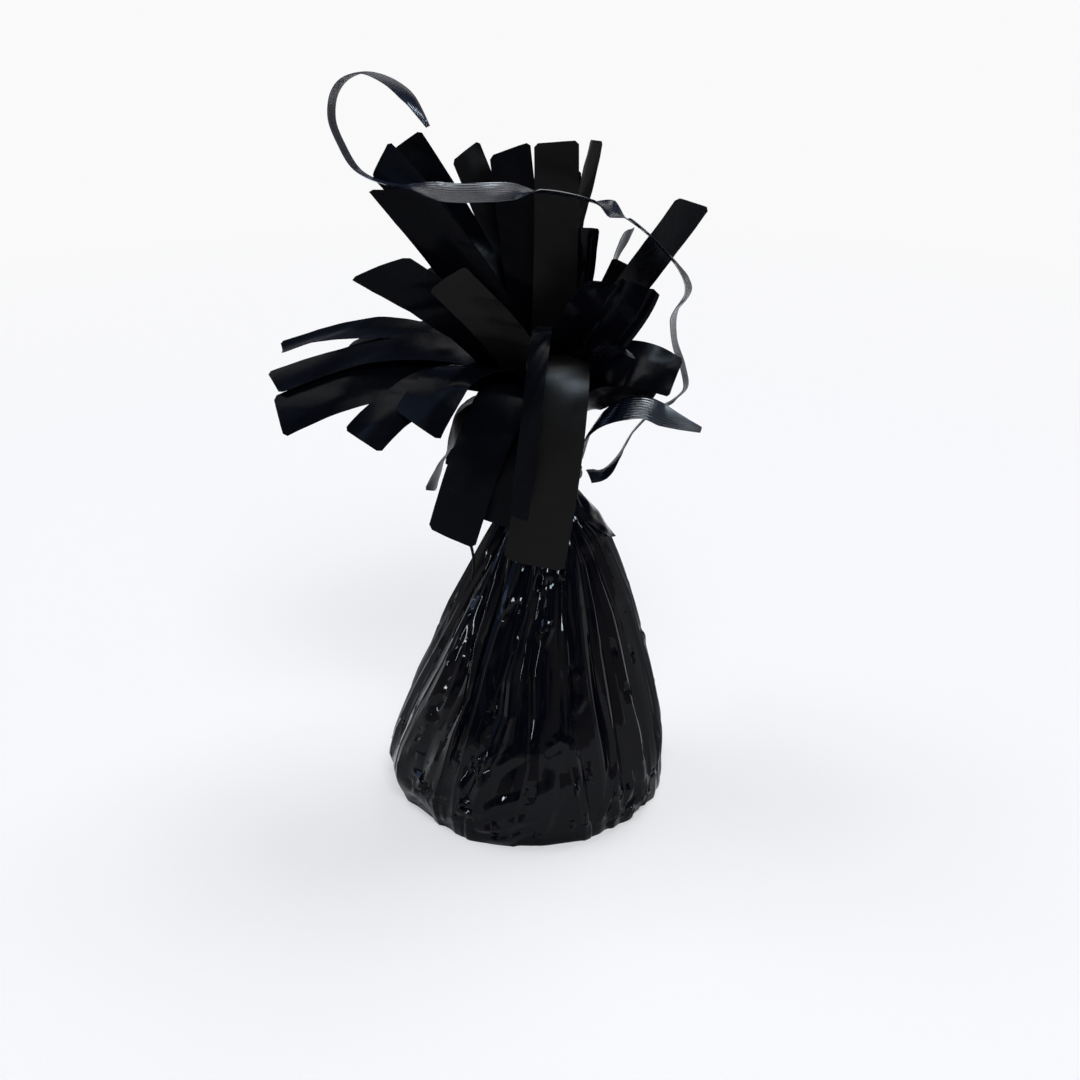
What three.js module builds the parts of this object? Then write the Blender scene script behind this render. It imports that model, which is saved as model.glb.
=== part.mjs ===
// Foil balloon weight: a plugged cup wrapped in pleated metallised film that is tied at the neck. Above the
// tie the film is slit into a tassel, and one length of curling ribbon is tied on.
// Millimetres, +Z up, origin on the floor at the middle of the base. The front of the tassel faces -Y.

import * as THREE from "three";

// Clearances and film
const clearance = 0.3;
const wrapThickness = 0.3;
const stripThickness = 0.2;

// Core: a moulded cup, mouth down, with its plug and the card that closes it
const cupMouthRadius = 27.2;
const cupCrownRadius = 17.6;
const cupHeight = 33;
const cupWall = 1.2;
const cupRimWidth = 1;
const cupRimHeight = 1.6;
const crownRounding = 2.5;
const cardThickness = 1;
const cardInset = 0.2;
const fillDrop = 1;
const coreSides = 36;

// Foil wrap: how far it stands out from the mouth and the crown of the cup, and at what height
const footSlack = 2.3;
const bulgeSlack = 3.4;
const bulgeHeight = 5.5;
const lowerSideSlack = 1;
const lowerSideHeight = 19;
const sideSlack = 5;
const sideRise = 2;

// The upper wrap, down from the neck that it is gathered to
const neckRadius = 5.3;
const neckHeight = 74;
const neckLength = 5;
const neckLean = 4.5;
const shoulderRadius = 11.4;
const shoulderDrop = 11;
const upperSideRadius = 16.9;
const upperSideDrop = 24;
const shoulderFoldReach = 1.8;
const shoulderFoldHeight = 6;
const shoulderFoldAngle = 0.75;

// Pleats of the wrap, which run from the base to the neck and are shallow at both ends
const pleatDepth = 0.95;
const neckPleatDepth = 0.25;
const footPleatDepth = 0.3;
const highestLift = 1.35;
const gatherDrop = 10;
const gatherShare = 0.8;

// The pleats of the front lie unevenly. A row gives how far the ridge stands out, as a share of the pleat depth,
// and its angle in degrees at each of the levels, which are shares of the neck's height.
const pleatLevels = [0.05, 0.22, 0.41, 0.6, 0.81];
const frontPleats = [
  [0.9, 184, 185, 190, 196, 203],
  [1, 198, 199, 206, 210, 217],
  [1.1, 228, 231, 233, 228, 223],
  [0.7, 238, 239, 241, 242, 247],
  [0.8, 244, 248, 257, 257, 261],
  [0.7, 263, 267, 266, 265, 270],
  [0.8, 276, 274, 273, 274, 275],
  [0.9, 296, 292, 288, 287, 286],
  [0.6, 302, 301, 298, 296, 297],
  [0.8, 310, 310, 309, 309, 308],
  [0.6, 318, 318, 317, 317, 313],
  [0.8, 327, 326, 324, 324, 319],
  [0.6, 333, 333, 333, 331, 325],
  [0.8, 340, 340, 341, 341, 331],
  [0.6, 349, 349, 349, 348, 338],
  [0.7, 357, 357, 357, 356, 347],
];

// The pleats of the back fill the rest of the turn, and wander a little on their way up
const backPleatCount = 19;
const backPleatSpread = 0.2;
const backPleatWander = 2;
const backWanderHeight = 14;

// Where the valley lies between two ridges, pleat after pleat, and where film pulled tight makes them shallower
const valleyShares = [0.36, 0.64, 0.24, 0.72, 0.5];
const tightMiddle = 266;
const tightHalfWidth = 55;
const tightShare = 0.45;
const wrapRowShares = [0, 0.03, 0.08, 0.15, 0.23, 0.32, 0.42, 0.52, 0.62, 0.71, 0.79, 0.87, 0.94, 1];

// Tie round the neck, and its twisted tail
const tieBelowTop = 3.4;
const tieThickness = 0.9;
const tieWidth = 1.6;
const tieTailLength = 9;
const tieTailTurns = 1.75;
const tieTailWidth = 2.2;
const tieTailAngle = 105;

// Tassel: the film above the tie, slit into strips that start in rings inside the neck
const stripWidth = 10;
const rootWidth = 1.1;
const ringCount = 5;
const ringSpacing = 0.7;
const rootDepth = 2;
const spreadStart = 0.15;
const spreadEnd = 0.68;
const turnEnd = 0.8;
const stripCamber = 0.5;
const stripSteps = 10;

// Curling ribbon
const ribbonWidth = 5;
const ribbonThickness = 0.25;
const longEndSteps = 50;
const shortEndSteps = 16;
const knotWidth = 1.5;
const knotThickness = 0.7;
const knotAngle = 322;
const knotFlatness = 0.7;
const knotRadius = 1.6;

// Colour, roughness and metalness
const foilLook = [0x08090c, 0.16, 0.6];
const cupLook = [0x8e9296, 0.45, 0];
const plugLook = [0x9a968c, 0.95, 0];
const cardLook = [0x8b7a5e, 0.9, 0];
const tieLook = [0x0c0d10, 0.4, 0.2];
const ribbonLook = [0x0c1222, 0.22, 0.3];

const weight = new THREE.Group();

function addPiece(parent, name, geometry, [color, roughness, metalness]) {
  const mesh = new THREE.Mesh(geometry, new THREE.MeshStandardMaterial({ color, roughness, metalness }));
  mesh.name = name;
  parent.add(mesh);
  return mesh;
}

// A geometry from a list of coordinates and, for each triangle, the numbers of its three corners
function geometryFrom(positions, triangles) {
  const geometry = new THREE.BufferGeometry();
  geometry.setAttribute("position", new THREE.Float32BufferAttribute(positions, 3));
  geometry.setIndex(triangles);
  geometry.computeVertexNormals();
  return geometry;
}

// A revolved solid about Z from a closed profile of [radius, height] pairs
function revolved(profile) {
  const points = profile.map(([radius, height]) => new THREE.Vector2(radius, height));
  const geometry = new THREE.LatheGeometry(points, coreSides);
  geometry.rotateX(Math.PI / 2);
  return geometry;
}

// A thin band with two faces and closed edges. The frame at u gives its centre, directions, width and camber.
// Both faces are split along the same diagonals, so that they don't cross where the band is twisted.
function bandGeometry(frameAt, steps, thickness) {
  const shares = [-0.5, 0, 0.5];
  const columns = shares.length - 1;
  const positions = [];
  for (let i = 0; i <= steps; i += 1) {
    const { centre, along, across, width, camber } = frameAt(i / steps);
    const normal = new THREE.Vector3().crossVectors(along, across).normalize();
    for (const share of shares) {
      const crown = camber * (1 - 4 * share * share);
      for (const side of [-0.5, 0.5]) {
        const point = centre.clone().addScaledVector(across, width * share);
        point.addScaledVector(normal, crown + side * thickness);
        positions.push(point.x, point.y, point.z);
      }
    }
  }
  const at = (i, j, side) => (i * shares.length + j) * 2 + side;
  const triangles = [];
  const quad = (a, b, c, d) => triangles.push(a, b, c, a, c, d);
  for (let i = 0; i < steps; i += 1) {
    for (let j = 0; j < columns; j += 1) {
      quad(at(i, j, 1), at(i + 1, j, 1), at(i + 1, j + 1, 1), at(i, j + 1, 1));
      quad(at(i, j, 0), at(i, j + 1, 0), at(i + 1, j + 1, 0), at(i + 1, j, 0));
    }
    quad(at(i, 0, 0), at(i + 1, 0, 0), at(i + 1, 0, 1), at(i, 0, 1));
    quad(at(i, columns, 1), at(i + 1, columns, 1), at(i + 1, columns, 0), at(i, columns, 0));
  }
  for (let j = 0; j < columns; j += 1) {
    quad(at(0, j, 1), at(0, j + 1, 1), at(0, j + 1, 0), at(0, j, 0));
    quad(at(steps, j, 0), at(steps, j + 1, 0), at(steps, j + 1, 1), at(steps, j, 1));
  }
  return geometryFrom(positions, triangles);
}

// Foil wrap

const neckTop = neckHeight + neckLength;

const sideHeight = cupHeight + sideRise;
const upperSideHeight = neckHeight - upperSideDrop;
const shoulderHeight = neckHeight - shoulderDrop;

const wrapOutline = new THREE.SplineCurve([
  new THREE.Vector2(cupMouthRadius + footSlack, 0),
  new THREE.Vector2(cupMouthRadius + bulgeSlack, bulgeHeight),
  new THREE.Vector2(cupMouthRadius + lowerSideSlack, lowerSideHeight),
  new THREE.Vector2(cupCrownRadius + sideSlack, sideHeight),
  new THREE.Vector2(upperSideRadius, upperSideHeight),
  new THREE.Vector2(shoulderRadius, shoulderHeight),
  new THREE.Vector2(neckRadius, neckHeight),
]);

// The middle of the wrap moves towards +X with height, because the neck was pulled over as it was tied
function leanAt(height) {
  return neckLean * THREE.MathUtils.smoothstep(height, 0, neckHeight);
}

const pleatCount = frontPleats.length + backPleatCount;
const levelHeights = pleatLevels.map((share) => share * neckHeight);

// The value at a height, from the values at the levels
function betweenLevels(values, height) {
  const next = levelHeights.findIndex((level) => level > height);
  if (next === 0) {
    return values[0];
  }
  if (next < 0) {
    return values[values.length - 1];
  }
  const share = (height - levelHeights[next - 1]) / (levelHeights[next] - levelHeights[next - 1]);
  return THREE.MathUtils.lerp(values[next - 1], values[next], share);
}

// The angles of all ridges at a height, in degrees. The gathers at the neck are nearly even.
function ridgeAngles(height) {
  const { lerp, smoothstep } = THREE.MathUtils;
  const front = frontPleats.map(([, ...angles]) => betweenLevels(angles, height));
  const last = front[front.length - 1];
  const back = Array.from({ length: backPleatCount }, (_, k) => {
    const share = (k + 1 + backPleatSpread * Math.sin(2.4 * k)) / (backPleatCount + 1);
    return lerp(last, front[0] + 360, share) + backPleatWander * Math.sin(height / backWanderHeight + k);
  });
  const gathered = gatherShare * smoothstep(height, neckHeight - gatherDrop, neckHeight);
  const start = frontPleats[0][pleatLevels.length];
  return [...front, ...back].map((angle, k) => lerp(angle, start + (360 * k) / pleatCount, gathered));
}

function ridgeLift(k) {
  return k < frontPleats.length ? frontPleats[k][0] : 0.85 + 0.25 * Math.sin(1.7 * k);
}

// How deep the pleats are at an angle, as a share of their full depth
function slackAt(degrees) {
  const away = Math.abs(degrees - tightMiddle);
  return 1 - tightShare * (1 - THREE.MathUtils.smoothstep(away, 0, tightHalfWidth));
}

// The fold of spare film that stands out on the right, just under the neck
function shoulderFoldAt(angle, height) {
  const across = (2 * Math.sin(angle / 2)) / shoulderFoldAngle;
  const along = (height - shoulderHeight) / shoulderFoldHeight;
  return shoulderFoldReach * Math.exp(-(across ** 2) - along ** 2);
}

function pleatDepthAt(height) {
  const { lerp, smoothstep } = THREE.MathUtils;
  const lower = lerp(footPleatDepth, pleatDepth, smoothstep(height, 0, sideHeight));
  return lerp(lower, neckPleatDepth, smoothstep(height, sideHeight, neckHeight));
}

// One ring of the wrap, at a place of its outline: a ridge, then the valley after it, and so on round. The inset
// moves the ring in from the outline, and up from the floor.
function wrapRing({ x: radius, y: height }, inset) {
  const depth = pleatDepthAt(height);
  const ridges = ridgeAngles(height);
  const creases = ridges.flatMap((ridge, k) => {
    const next = k + 1 < pleatCount ? ridges[k + 1] : ridges[0] + 360;
    const valley = THREE.MathUtils.lerp(ridge, next, valleyShares[k % valleyShares.length]);
    return [[ridge, ridgeLift(k)], [valley, -1]];
  });
  return creases.map(([degrees, push]) => {
    const angle = THREE.MathUtils.degToRad(degrees);
    const reach = radius - inset + depth * push * slackAt(degrees) + shoulderFoldAt(angle, height);
    return [leanAt(height) + reach * Math.cos(angle), reach * Math.sin(angle), Math.max(height, inset)];
  });
}

// The wrap has a closed bottom, walls of one thickness and an open neck
function buildWrap() {
  const rows = wrapRowShares.map((share) => wrapOutline.getPoint(share));
  rows.push(new THREE.Vector2(neckRadius, neckHeight + neckLength / 2));
  rows.push(new THREE.Vector2(neckRadius, neckTop));
  const columns = 2 * pleatCount;
  const outer = rows.map((row) => wrapRing(row, 0));
  const inner = rows.map((row) => wrapRing(row, wrapThickness)).reverse();
  const rings = [...outer, ...inner];
  const positions = rings.flat(2);
  const [underside, inside] = [rings.length * columns, rings.length * columns + 1];
  positions.push(0, 0, 0, 0, 0, wrapThickness);
  const at = (ring, k) => ring * columns + (k % columns);
  const last = rings.length - 1;
  const triangles = [];
  for (let k = 0; k < columns; k += 1) {
    for (let ring = 0; ring < last; ring += 1) {
      triangles.push(at(ring, k), at(ring, k + 1), at(ring + 1, k + 1));
      triangles.push(at(ring, k), at(ring + 1, k + 1), at(ring + 1, k));
    }
    triangles.push(underside, at(0, k + 1), at(0, k));
    triangles.push(inside, at(last, k), at(last, k + 1));
  }
  return geometryFrom(positions, triangles);
}

addPiece(weight, "foil_wrap", buildWrap(), foilLook);

// Core

const core = new THREE.Group();
core.position.z = wrapThickness + clearance;
weight.add(core);
const cupBase = cardThickness + clearance;

function buildCard() {
  const radius = cupMouthRadius - cardInset;
  return revolved([[0, 0], [radius, 0], [radius, cardThickness], [0, cardThickness]]);
}

function buildCup() {
  const top = cupBase + cupHeight;
  const inside = cupCrownRadius - cupWall;
  return revolved([
    [cupMouthRadius, cupBase],
    [cupMouthRadius, cupBase + cupRimHeight],
    [cupMouthRadius - cupRimWidth, cupBase + cupRimHeight],
    [cupCrownRadius, top - crownRounding],
    [cupCrownRadius - 0.3 * crownRounding, top - 0.3 * crownRounding],
    [cupCrownRadius - crownRounding, top],
    [0, top],
    [0, top - cupWall],
    [inside - crownRounding, top - cupWall],
    [inside, top - crownRounding],
    [cupMouthRadius - cupRimWidth - cupWall, cupBase + cupRimHeight],
    [cupMouthRadius - cupRimWidth - cupWall, cupBase],
    [cupMouthRadius, cupBase],
  ]);
}

function buildPlug() {
  const crown = cupBase + cupHeight - cupWall - clearance - fillDrop;
  const inside = cupCrownRadius - cupWall - clearance;
  const mouth = cupMouthRadius - cupRimWidth - cupWall - clearance;
  const bottom = cupBase;
  return revolved([
    [0, bottom],
    [mouth, bottom],
    [mouth, cupBase + cupRimHeight],
    [inside, cupBase + cupHeight - crownRounding - fillDrop],
    [inside - crownRounding, crown],
    [0, crown],
  ]);
}

addPiece(core, "base_card", buildCard(), cardLook);
addPiece(core, "core_cup", buildCup(), cupLook);
addPiece(core, "core_plug", buildPlug(), plugLook);

// Everything at the neck is placed from its middle at the height of the tie
const neck = new THREE.Group();
neck.position.set(neckLean, 0, neckHeight);
weight.add(neck);

// A closed band round the neck, square to it
function collar(innerRadius, thickness, width, middle) {
  const outer = innerRadius + thickness;
  const [low, high] = [middle - width / 2, middle + width / 2];
  const chamfer = 0.25 * Math.min(thickness, width);
  return revolved([
    [innerRadius, low],
    [outer - chamfer, low],
    [outer, low + chamfer],
    [outer, high - chamfer],
    [outer - chamfer, high],
    [innerRadius, high],
    [innerRadius, low],
  ]);
}

const neckPleatReach = neckPleatDepth * highestLift;
const neckOuter = neckRadius + neckPleatReach;
const outermostRing = neckRadius - neckPleatReach - wrapThickness - clearance - stripThickness / 2;
const tieMiddle = neckLength - tieBelowTop;

function buildTieTail() {
  const heading = THREE.MathUtils.degToRad(tieTailAngle);
  const out = new THREE.Vector3(Math.cos(heading), Math.sin(heading), 0);
  const start = neckOuter + tieThickness + 2 * clearance;
  const frameAt = (u) => {
    const turn = 2 * Math.PI * tieTailTurns * u;
    const across = new THREE.Vector3(-out.y, out.x, 0).multiplyScalar(Math.cos(turn));
    across.z = Math.sin(turn);
    const centre = out.clone().multiplyScalar(start + tieTailLength * u);
    centre.z = tieMiddle;
    return { centre, along: out, across, width: tieTailWidth, camber: 0 };
  };
  return bandGeometry(frameAt, 30, tieThickness);
}

addPiece(neck, "neck_tie", collar(neckOuter + clearance, tieThickness, tieWidth, tieMiddle), tieLook);
addPiece(neck, "tie_tail", buildTieTail(), tieLook);

// Tassel. A strip starts in a ring inside the neck, 0 being the innermost, at a root angle in degrees. It
// rises, heads for its bend and ends at its tip. Places are measured from the middle of the neck, and the
// last direction is the one that the width of the tip lies along.
function strip(name, ring, root, rise, bendPlace, tipPlace, tipDirection, width = stripWidth) {
  const bend = new THREE.Vector3(...bendPlace);
  const tip = new THREE.Vector3(...tipPlace);
  const tipAcross = new THREE.Vector3(...tipDirection).normalize();
  return { name, ring, root, rise, bend, tip, tipAcross, width };
}

const strips = [
  // Strips that stand up in the middle
  strip("top_strip", 0, 278, 20, [2, -4, 44], [1.6, -2, 74], [1, 0, 0.05], 9),
  strip("top_left_strip", 0, 206, 20, [-5, 2, 44], [-7.8, 3, 71.3], [1, 0, -0.2], 8.5),
  strip("top_sliver", 0, 62, 20, [5, 7, 45], [9.5, 7, 72], [-0.3, 0.95, 0], 6),
  strip("top_back_strip", 0, 134, 20, [-3, 11, 42], [-8, 13, 60], [1, 0.2, 0], 8),
  strip("right_curl_strip", 0, 352, 20, [6, -1.5, 40], [7.8, -1.5, 56], [0.7, -0.3, -0.65], 6.5),

  // Strips that lean out of the middle
  strip("high_right_strip", 1, 0, 25, [13, 0, 36], [29.4, 0, 61], [0.6, 0.55, -0.5]),
  strip("right_leaf_strip", 1, 50, 25, [9, 13, 32], [17.4, 17, 50], [0.3, 0.9, -0.2], 6),
  strip("back_high_strip", 1, 80, 25, [3, 16, 42], [3, 20, 62], [1, 0, 0], 8),
  strip("high_back_left_strip", 1, 120, 25, [-7, 12, 42], [-17.3, 14, 68], [0.9, 0.3, -0.1], 7),
  strip("high_left_strip", 1, 160, 25, [-14, 7, 47], [-29.4, 8, 71.5], [0.85, 0.2, 0.4], 8),
  strip("upper_left_strip", 1, 196, 25, [-15, 2, 48], [-34.1, 0, 69.8], [0.4, 0.75, 0.55], 9),
  strip("fan_left_strip", 1, 236, 25, [-14.5, -8, 47], [-29.2, -10, 66.4], [0.9, -0.2, 0.4], 10.5),
  strip("front_up_strip", 1, 300, 25, [4, -11.5, 41], [11, -17.5, 49.5], [1, 0.3, -0.2], 8),

  // Strips that reach out to the sides
  strip("right_back_strip", 2, 30, 25, [11, 5, 32], [17, 5, 46], [0.8, 0.3, -0.5], 9),
  strip("back_right_strip", 2, 62, 25, [10, 18, 34], [15, 31, 34], [0.8, -0.5, 0.2]),
  strip("back_strip", 2, 90, 25, [1, 20, 42], [2, 38, 51], [1, 0, 0.1]),
  strip("back_left_high_strip", 2, 116, 25, [-3, 20, 38], [-9, 37, 42], [0.9, 0.3, 0.1]),
  strip("back_left_strip", 2, 146, 25, [-16, 14, 38], [-26, 28, 38], [0.6, 0.6, 0.3]),
  strip("left_back_point_strip", 2, 171, 25, [-24, 9, 37], [-57, 11, 25], [0, 0.95, 0.1], 9),
  strip("left_point_strip", 2, 195, 25, [-22, 1, 38], [-58, 0, 22], [0.1, 0.85, 0.3], 9),
  strip("left_upper_strip", 2, 218, 25, [-18, -9, 40], [-34, -11, 51], [0.66, -0.3, 0.7], 12),
  strip("fan_left_low_strip", 2, 252, 25, [-9, -15, 38], [-20, -18, 51], [0.75, -0.3, 0.55], 10),
  strip("front_right_short_strip", 2, 303, 28, [12.5, -11, 35], [14, -22, 36.5], [1, 0.3, -0.4], 7),
  strip("right_front_strip", 2, 328, 26, [14, -6, 32], [18.5, -8, 46], [0.8, -0.2, -0.6], 9),
  strip("right_tip_strip", 2, 353, 24, [15, -6, 32], [26.4, -8, 25.8], [0.3, -0.6, -0.7]),

  // Strips that reach out low
  strip("low_right_strip", 3, 352, 16, [13, -2, 24], [22, -2, 19], [0.4, 0.3, -0.8], 9),
  strip("low_right_back_strip", 3, 20, 24, [14, 10, 30], [20, 20, 22], [-0.5, 0.8, 0.2]),
  strip("low_back_right_strip", 3, 66, 24, [8, 24, 34], [16, 40, 18], [0.8, -0.5, 0]),
  strip("low_back_strip", 3, 95, 24, [-2, 24, 36], [-4, 44, 20], [1, 0, 0.2]),
  strip("low_back_left_strip", 3, 128, 24, [-15, 20, 34], [-28, 37, 18], [0.7, 0.6, 0]),
  strip("low_left_back_strip", 3, 152, 24, [-22, 12, 34], [-45, 22, 20], [0.4, 0.8, 0.2]),
  strip("low_left_strip", 3, 176, 24, [-24, -4, 32], [-56.4, -7, 17], [0.6, -0.6, -0.5]),
  strip("low_left_block_strip", 3, 197, 24, [-22, -9, 35], [-38.7, -15, 15], [0.75, -0.6, -0.2], 10.5),
  strip("low_front_left_strip", 3, 216, 26, [-18, -12, 37], [-27, -19, 20], [0.95, -0.3, 0.1], 12),

  // Strips that fall back over the neck
  strip("hanging_back_right_strip", 4, 42, 16, [13, 20, 22], [14, 22, 10], [0.7, -0.7, 0]),
  strip("hanging_back_strip", 4, 84, 18, [0, 26, 26], [-1, 24, -6], [1, 0, 0]),
  strip("hanging_back_left_strip", 4, 136, 16, [-16, 20, 22], [-19, 20, -4], [0.7, 0.7, 0]),
  strip("hanging_left_behind_strip", 4, 200, 16, [-18, -6, 22], [-24.5, -9, 1], [0.4, 0.7, 0.5], 9),
  strip("hanging_left_strip", 4, 231, 29, [-9, -20, 35.5], [-20.3, -18, -6], [0.9, -0.35, -0.3], 11),
  strip("hanging_middle_strip", 4, 248, 22, [-3.5, -17, 26], [-11.5, -15.5, -3.5], [1, -0.1, 0], 10),
  strip("hanging_narrow_strip", 4, 266, 56, [-1, -30, 44], [-6.1, -24, 1.2], [1, 0, 0], 4),
  strip("hanging_front_strip", 4, 284, 46, [5, -22, 36], [-3, -17.5, -12.4], [1, 0, -0.15], 13),
];

// The band frames of a strip: gathered at its root inside the neck, and full width from part of the way up
function stripFrames({ ring, root, rise, bend, tip, tipAcross, width }) {
  const rootAngle = THREE.MathUtils.degToRad(root);
  const outward = new THREE.Vector3(Math.cos(rootAngle), Math.sin(rootAngle), 0);
  const start = outward.clone().multiplyScalar(outermostRing - (ringCount - 1 - ring) * ringSpacing);
  start.z = neckLength - rootDepth;
  const lift = start.clone();
  lift.z += rise;
  const middle = new THREE.CubicBezierCurve3(start, lift, bend, tip);
  const rootAcross = new THREE.Vector3(-outward.y, outward.x, 0);
  if (rootAcross.dot(tipAcross) < 0) {
    rootAcross.negate();
  }
  return (u) => {
    const along = middle.getTangent(u);
    const across = rootAcross.clone().lerp(tipAcross, THREE.MathUtils.smoothstep(u, 0, turnEnd));
    across.addScaledVector(along, -across.dot(along)).normalize();
    const spread = THREE.MathUtils.smoothstep(u, spreadStart, spreadEnd);
    return {
      centre: middle.getPoint(u),
      along,
      across,
      width: THREE.MathUtils.lerp(rootWidth, width, spread),
      camber: stripCamber * spread,
    };
  };
}

for (const row of strips) {
  addPiece(neck, row.name, bandGeometry(stripFrames(row), stripSteps, stripThickness), foilLook);
}

// Curling ribbon: tied round the neck above the tie, with a short end and a long end that loops over the tassel

const longEndRoute = [
  [8.6, -6.8, 3.3], [11.5, -6, 3.6], [15, -2.5, 6], [18.5, 1, 10.5], [23, 4, 14], [27, 6, 15.5],
  [29.5, 7, 18], [29, 8, 22], [27, 6.5, 28.5], [26.5, 3, 35.5], [28.5, -3, 43], [26.5, -8, 49.5],
  [22, -10, 55.5], [16.5, -11, 60.5], [10, -11, 64], [2.5, -11, 66], [-4.5, -11, 66.5], [-11.5, -12, 66.5],
  [-19.5, -14, 67], [-27, -15, 68.5], [-33, -13, 69], [-38, -9, 70.5], [-41, -6, 74.5], [-43, -3, 79],
  [-42.5, -1, 83.5], [-40.5, 0, 86], [-36.5, 1, 87], [-32, 1, 85.5], [-28, 0, 82.5], [-26, -1, 80],
  [-24, -2, 77],
];
const shortEndRoute = [
  [6.4, -5, 5.9], [8.5, -5.5, 12], [11.5, -6, 16], [15.5, -7, 18.5], [20, -7, 19], [24.5, -7, 17],
  [28, -7, 15.5], [32, -7, 14],
];
const longEndAcross = new THREE.Vector3(0.25, 0.95, 0.2);
const shortEndAcross = new THREE.Vector3(0.3, 0.9, -0.3);

function buildRibbon(route, across, steps) {
  const curve = new THREE.CatmullRomCurve3(route.map((point) => new THREE.Vector3(...point)));
  const frameAt = (u) => {
    const along = curve.getTangentAt(u);
    const square = across.clone().addScaledVector(along, -across.dot(along)).normalize();
    return { centre: curve.getPointAt(u), along, across: square, width: ribbonWidth, camber: 0 };
  };
  return bandGeometry(frameAt, steps, ribbonThickness);
}

const knotMiddle = tieMiddle + (tieWidth + knotWidth) / 2 + clearance;

function buildKnot() {
  const heading = THREE.MathUtils.degToRad(knotAngle);
  const reach = neckOuter + knotThickness + 2 * clearance + knotRadius * knotFlatness;
  const geometry = new THREE.SphereGeometry(knotRadius, 14, 9);
  geometry.scale(knotFlatness, 1, 1.1);
  geometry.rotateZ(heading);
  geometry.translate(reach * Math.cos(heading), reach * Math.sin(heading), knotMiddle);
  return geometry;
}

const ribbonCollar = collar(neckOuter + clearance, knotThickness, knotWidth, knotMiddle);
addPiece(neck, "ribbon_collar", ribbonCollar, ribbonLook);
addPiece(neck, "ribbon_knot", buildKnot(), ribbonLook);
addPiece(neck, "ribbon_long_end", buildRibbon(longEndRoute, longEndAcross, longEndSteps), ribbonLook);
addPiece(neck, "ribbon_short_end", buildRibbon(shortEndRoute, shortEndAcross, shortEndSteps), ribbonLook);

export default weight;
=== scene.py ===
"""Looks of the foil balloon weight: pleated film wrap, tassel of film strips, ties and curling ribbon.

Shapes are worked out in millimetres in the part's own frame and written to Blender in metres.
"""

import math

import bpy
import numpy as np
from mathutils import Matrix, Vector


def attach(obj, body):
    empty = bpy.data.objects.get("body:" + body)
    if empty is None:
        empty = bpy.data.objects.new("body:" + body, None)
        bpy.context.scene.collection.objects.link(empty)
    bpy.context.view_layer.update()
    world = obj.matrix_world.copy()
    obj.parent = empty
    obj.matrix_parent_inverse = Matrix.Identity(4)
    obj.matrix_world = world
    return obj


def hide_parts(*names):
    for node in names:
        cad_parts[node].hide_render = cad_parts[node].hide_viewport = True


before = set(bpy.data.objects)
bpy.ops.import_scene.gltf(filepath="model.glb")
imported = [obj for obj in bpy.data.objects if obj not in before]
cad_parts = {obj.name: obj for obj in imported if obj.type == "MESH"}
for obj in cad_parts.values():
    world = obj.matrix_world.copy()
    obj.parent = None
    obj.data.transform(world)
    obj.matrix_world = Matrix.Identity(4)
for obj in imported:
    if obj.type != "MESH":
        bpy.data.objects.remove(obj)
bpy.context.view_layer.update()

MM = 0.001

# Driving sizes, as in the part's source
CLEARANCE = 0.3
NECK_RADIUS = 5.3
NECK_HEIGHT = 74.0
NECK_LENGTH = 5.0
NECK_LEAN = 4.5
NECK_TOP = NECK_HEIGHT + NECK_LENGTH
NECK_PLEAT_REACH = 0.3375
NECK_OUTER = NECK_RADIUS + NECK_PLEAT_REACH
# The strips, the ties and the ribbon are placed from the neck's middle
NECK = np.array([NECK_LEAN, 0.0, NECK_HEIGHT])
UP = np.array([0, 0, 1.0])


# Small maths

CURVE_STEPS = 24


def smoothstep(x, low, high):
    t = np.clip((np.asarray(x, float) - low) / (high - low), 0, 1)
    return t * t * (3 - 2 * t)


def lerp(a, b, t):
    return a + (b - a) * t


def unit(v):
    v = np.asarray(v, float)
    return v / np.maximum(np.linalg.norm(v, axis=-1, keepdims=True), 1e-12)


def round_points(turn, reach, height):
    """Points round the Z axis: angles in radians, distances from the axis, and heights."""
    return np.stack([reach * np.cos(turn), reach * np.sin(turn), height], axis=-1)


def table_value(x, table):
    """The value at x in a table of (x, value) rows."""
    return np.interp(x, [row[0] for row in table], [row[1] for row in table])


def wave_noise(x, rng, octaves):
    """A smooth random curve over x, about -1 to 1, the same for the same generator."""
    total = np.zeros_like(np.asarray(x, float))
    for k in range(octaves):
        rate = (k + 1) * rng.uniform(0.8, 1.2)
        phase = rng.uniform(0, 2 * math.pi)
        total = total + np.sin(2 * math.pi * rate * x + phase) / (k + 1)
    return total / sum(1 / (k + 1) for k in range(octaves))


def blend(a, b, low, high, t):
    """A value that goes from a to b as t goes from low to high."""
    return ((high - t) * a + (t - low) * b) / (high - low)


def catmull_rom(points, samples):
    """Points spread evenly along a centripetal curve through the given ones, and the curve's length."""
    p = np.asarray(points, float)
    p = np.vstack([2 * p[0] - p[1], p, 2 * p[-1] - p[-2]])
    fine = []
    for i in range(1, len(p) - 2):
        spans = np.linalg.norm(np.diff(p[i - 1 : i + 3], axis=0), axis=1) ** 0.5
        knots = np.concatenate([[0], np.cumsum(spans)])
        t = np.linspace(knots[1], knots[2], CURVE_STEPS, endpoint=i == len(p) - 3)[:, None]
        a = [blend(p[i - 1 + j], p[i + j], knots[j], knots[j + 1], t) for j in range(3)]
        b = [blend(a[j], a[j + 1], knots[j], knots[j + 2], t) for j in range(2)]
        fine.append(blend(b[0], b[1], knots[1], knots[2], t))
    fine = np.vstack(fine)
    along = np.concatenate([[0], np.cumsum(np.linalg.norm(np.diff(fine, axis=0), axis=1))])
    at = np.linspace(0, along[-1], samples)
    return np.stack([np.interp(at, along, fine[:, k]) for k in range(3)], axis=1), along[-1]


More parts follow.
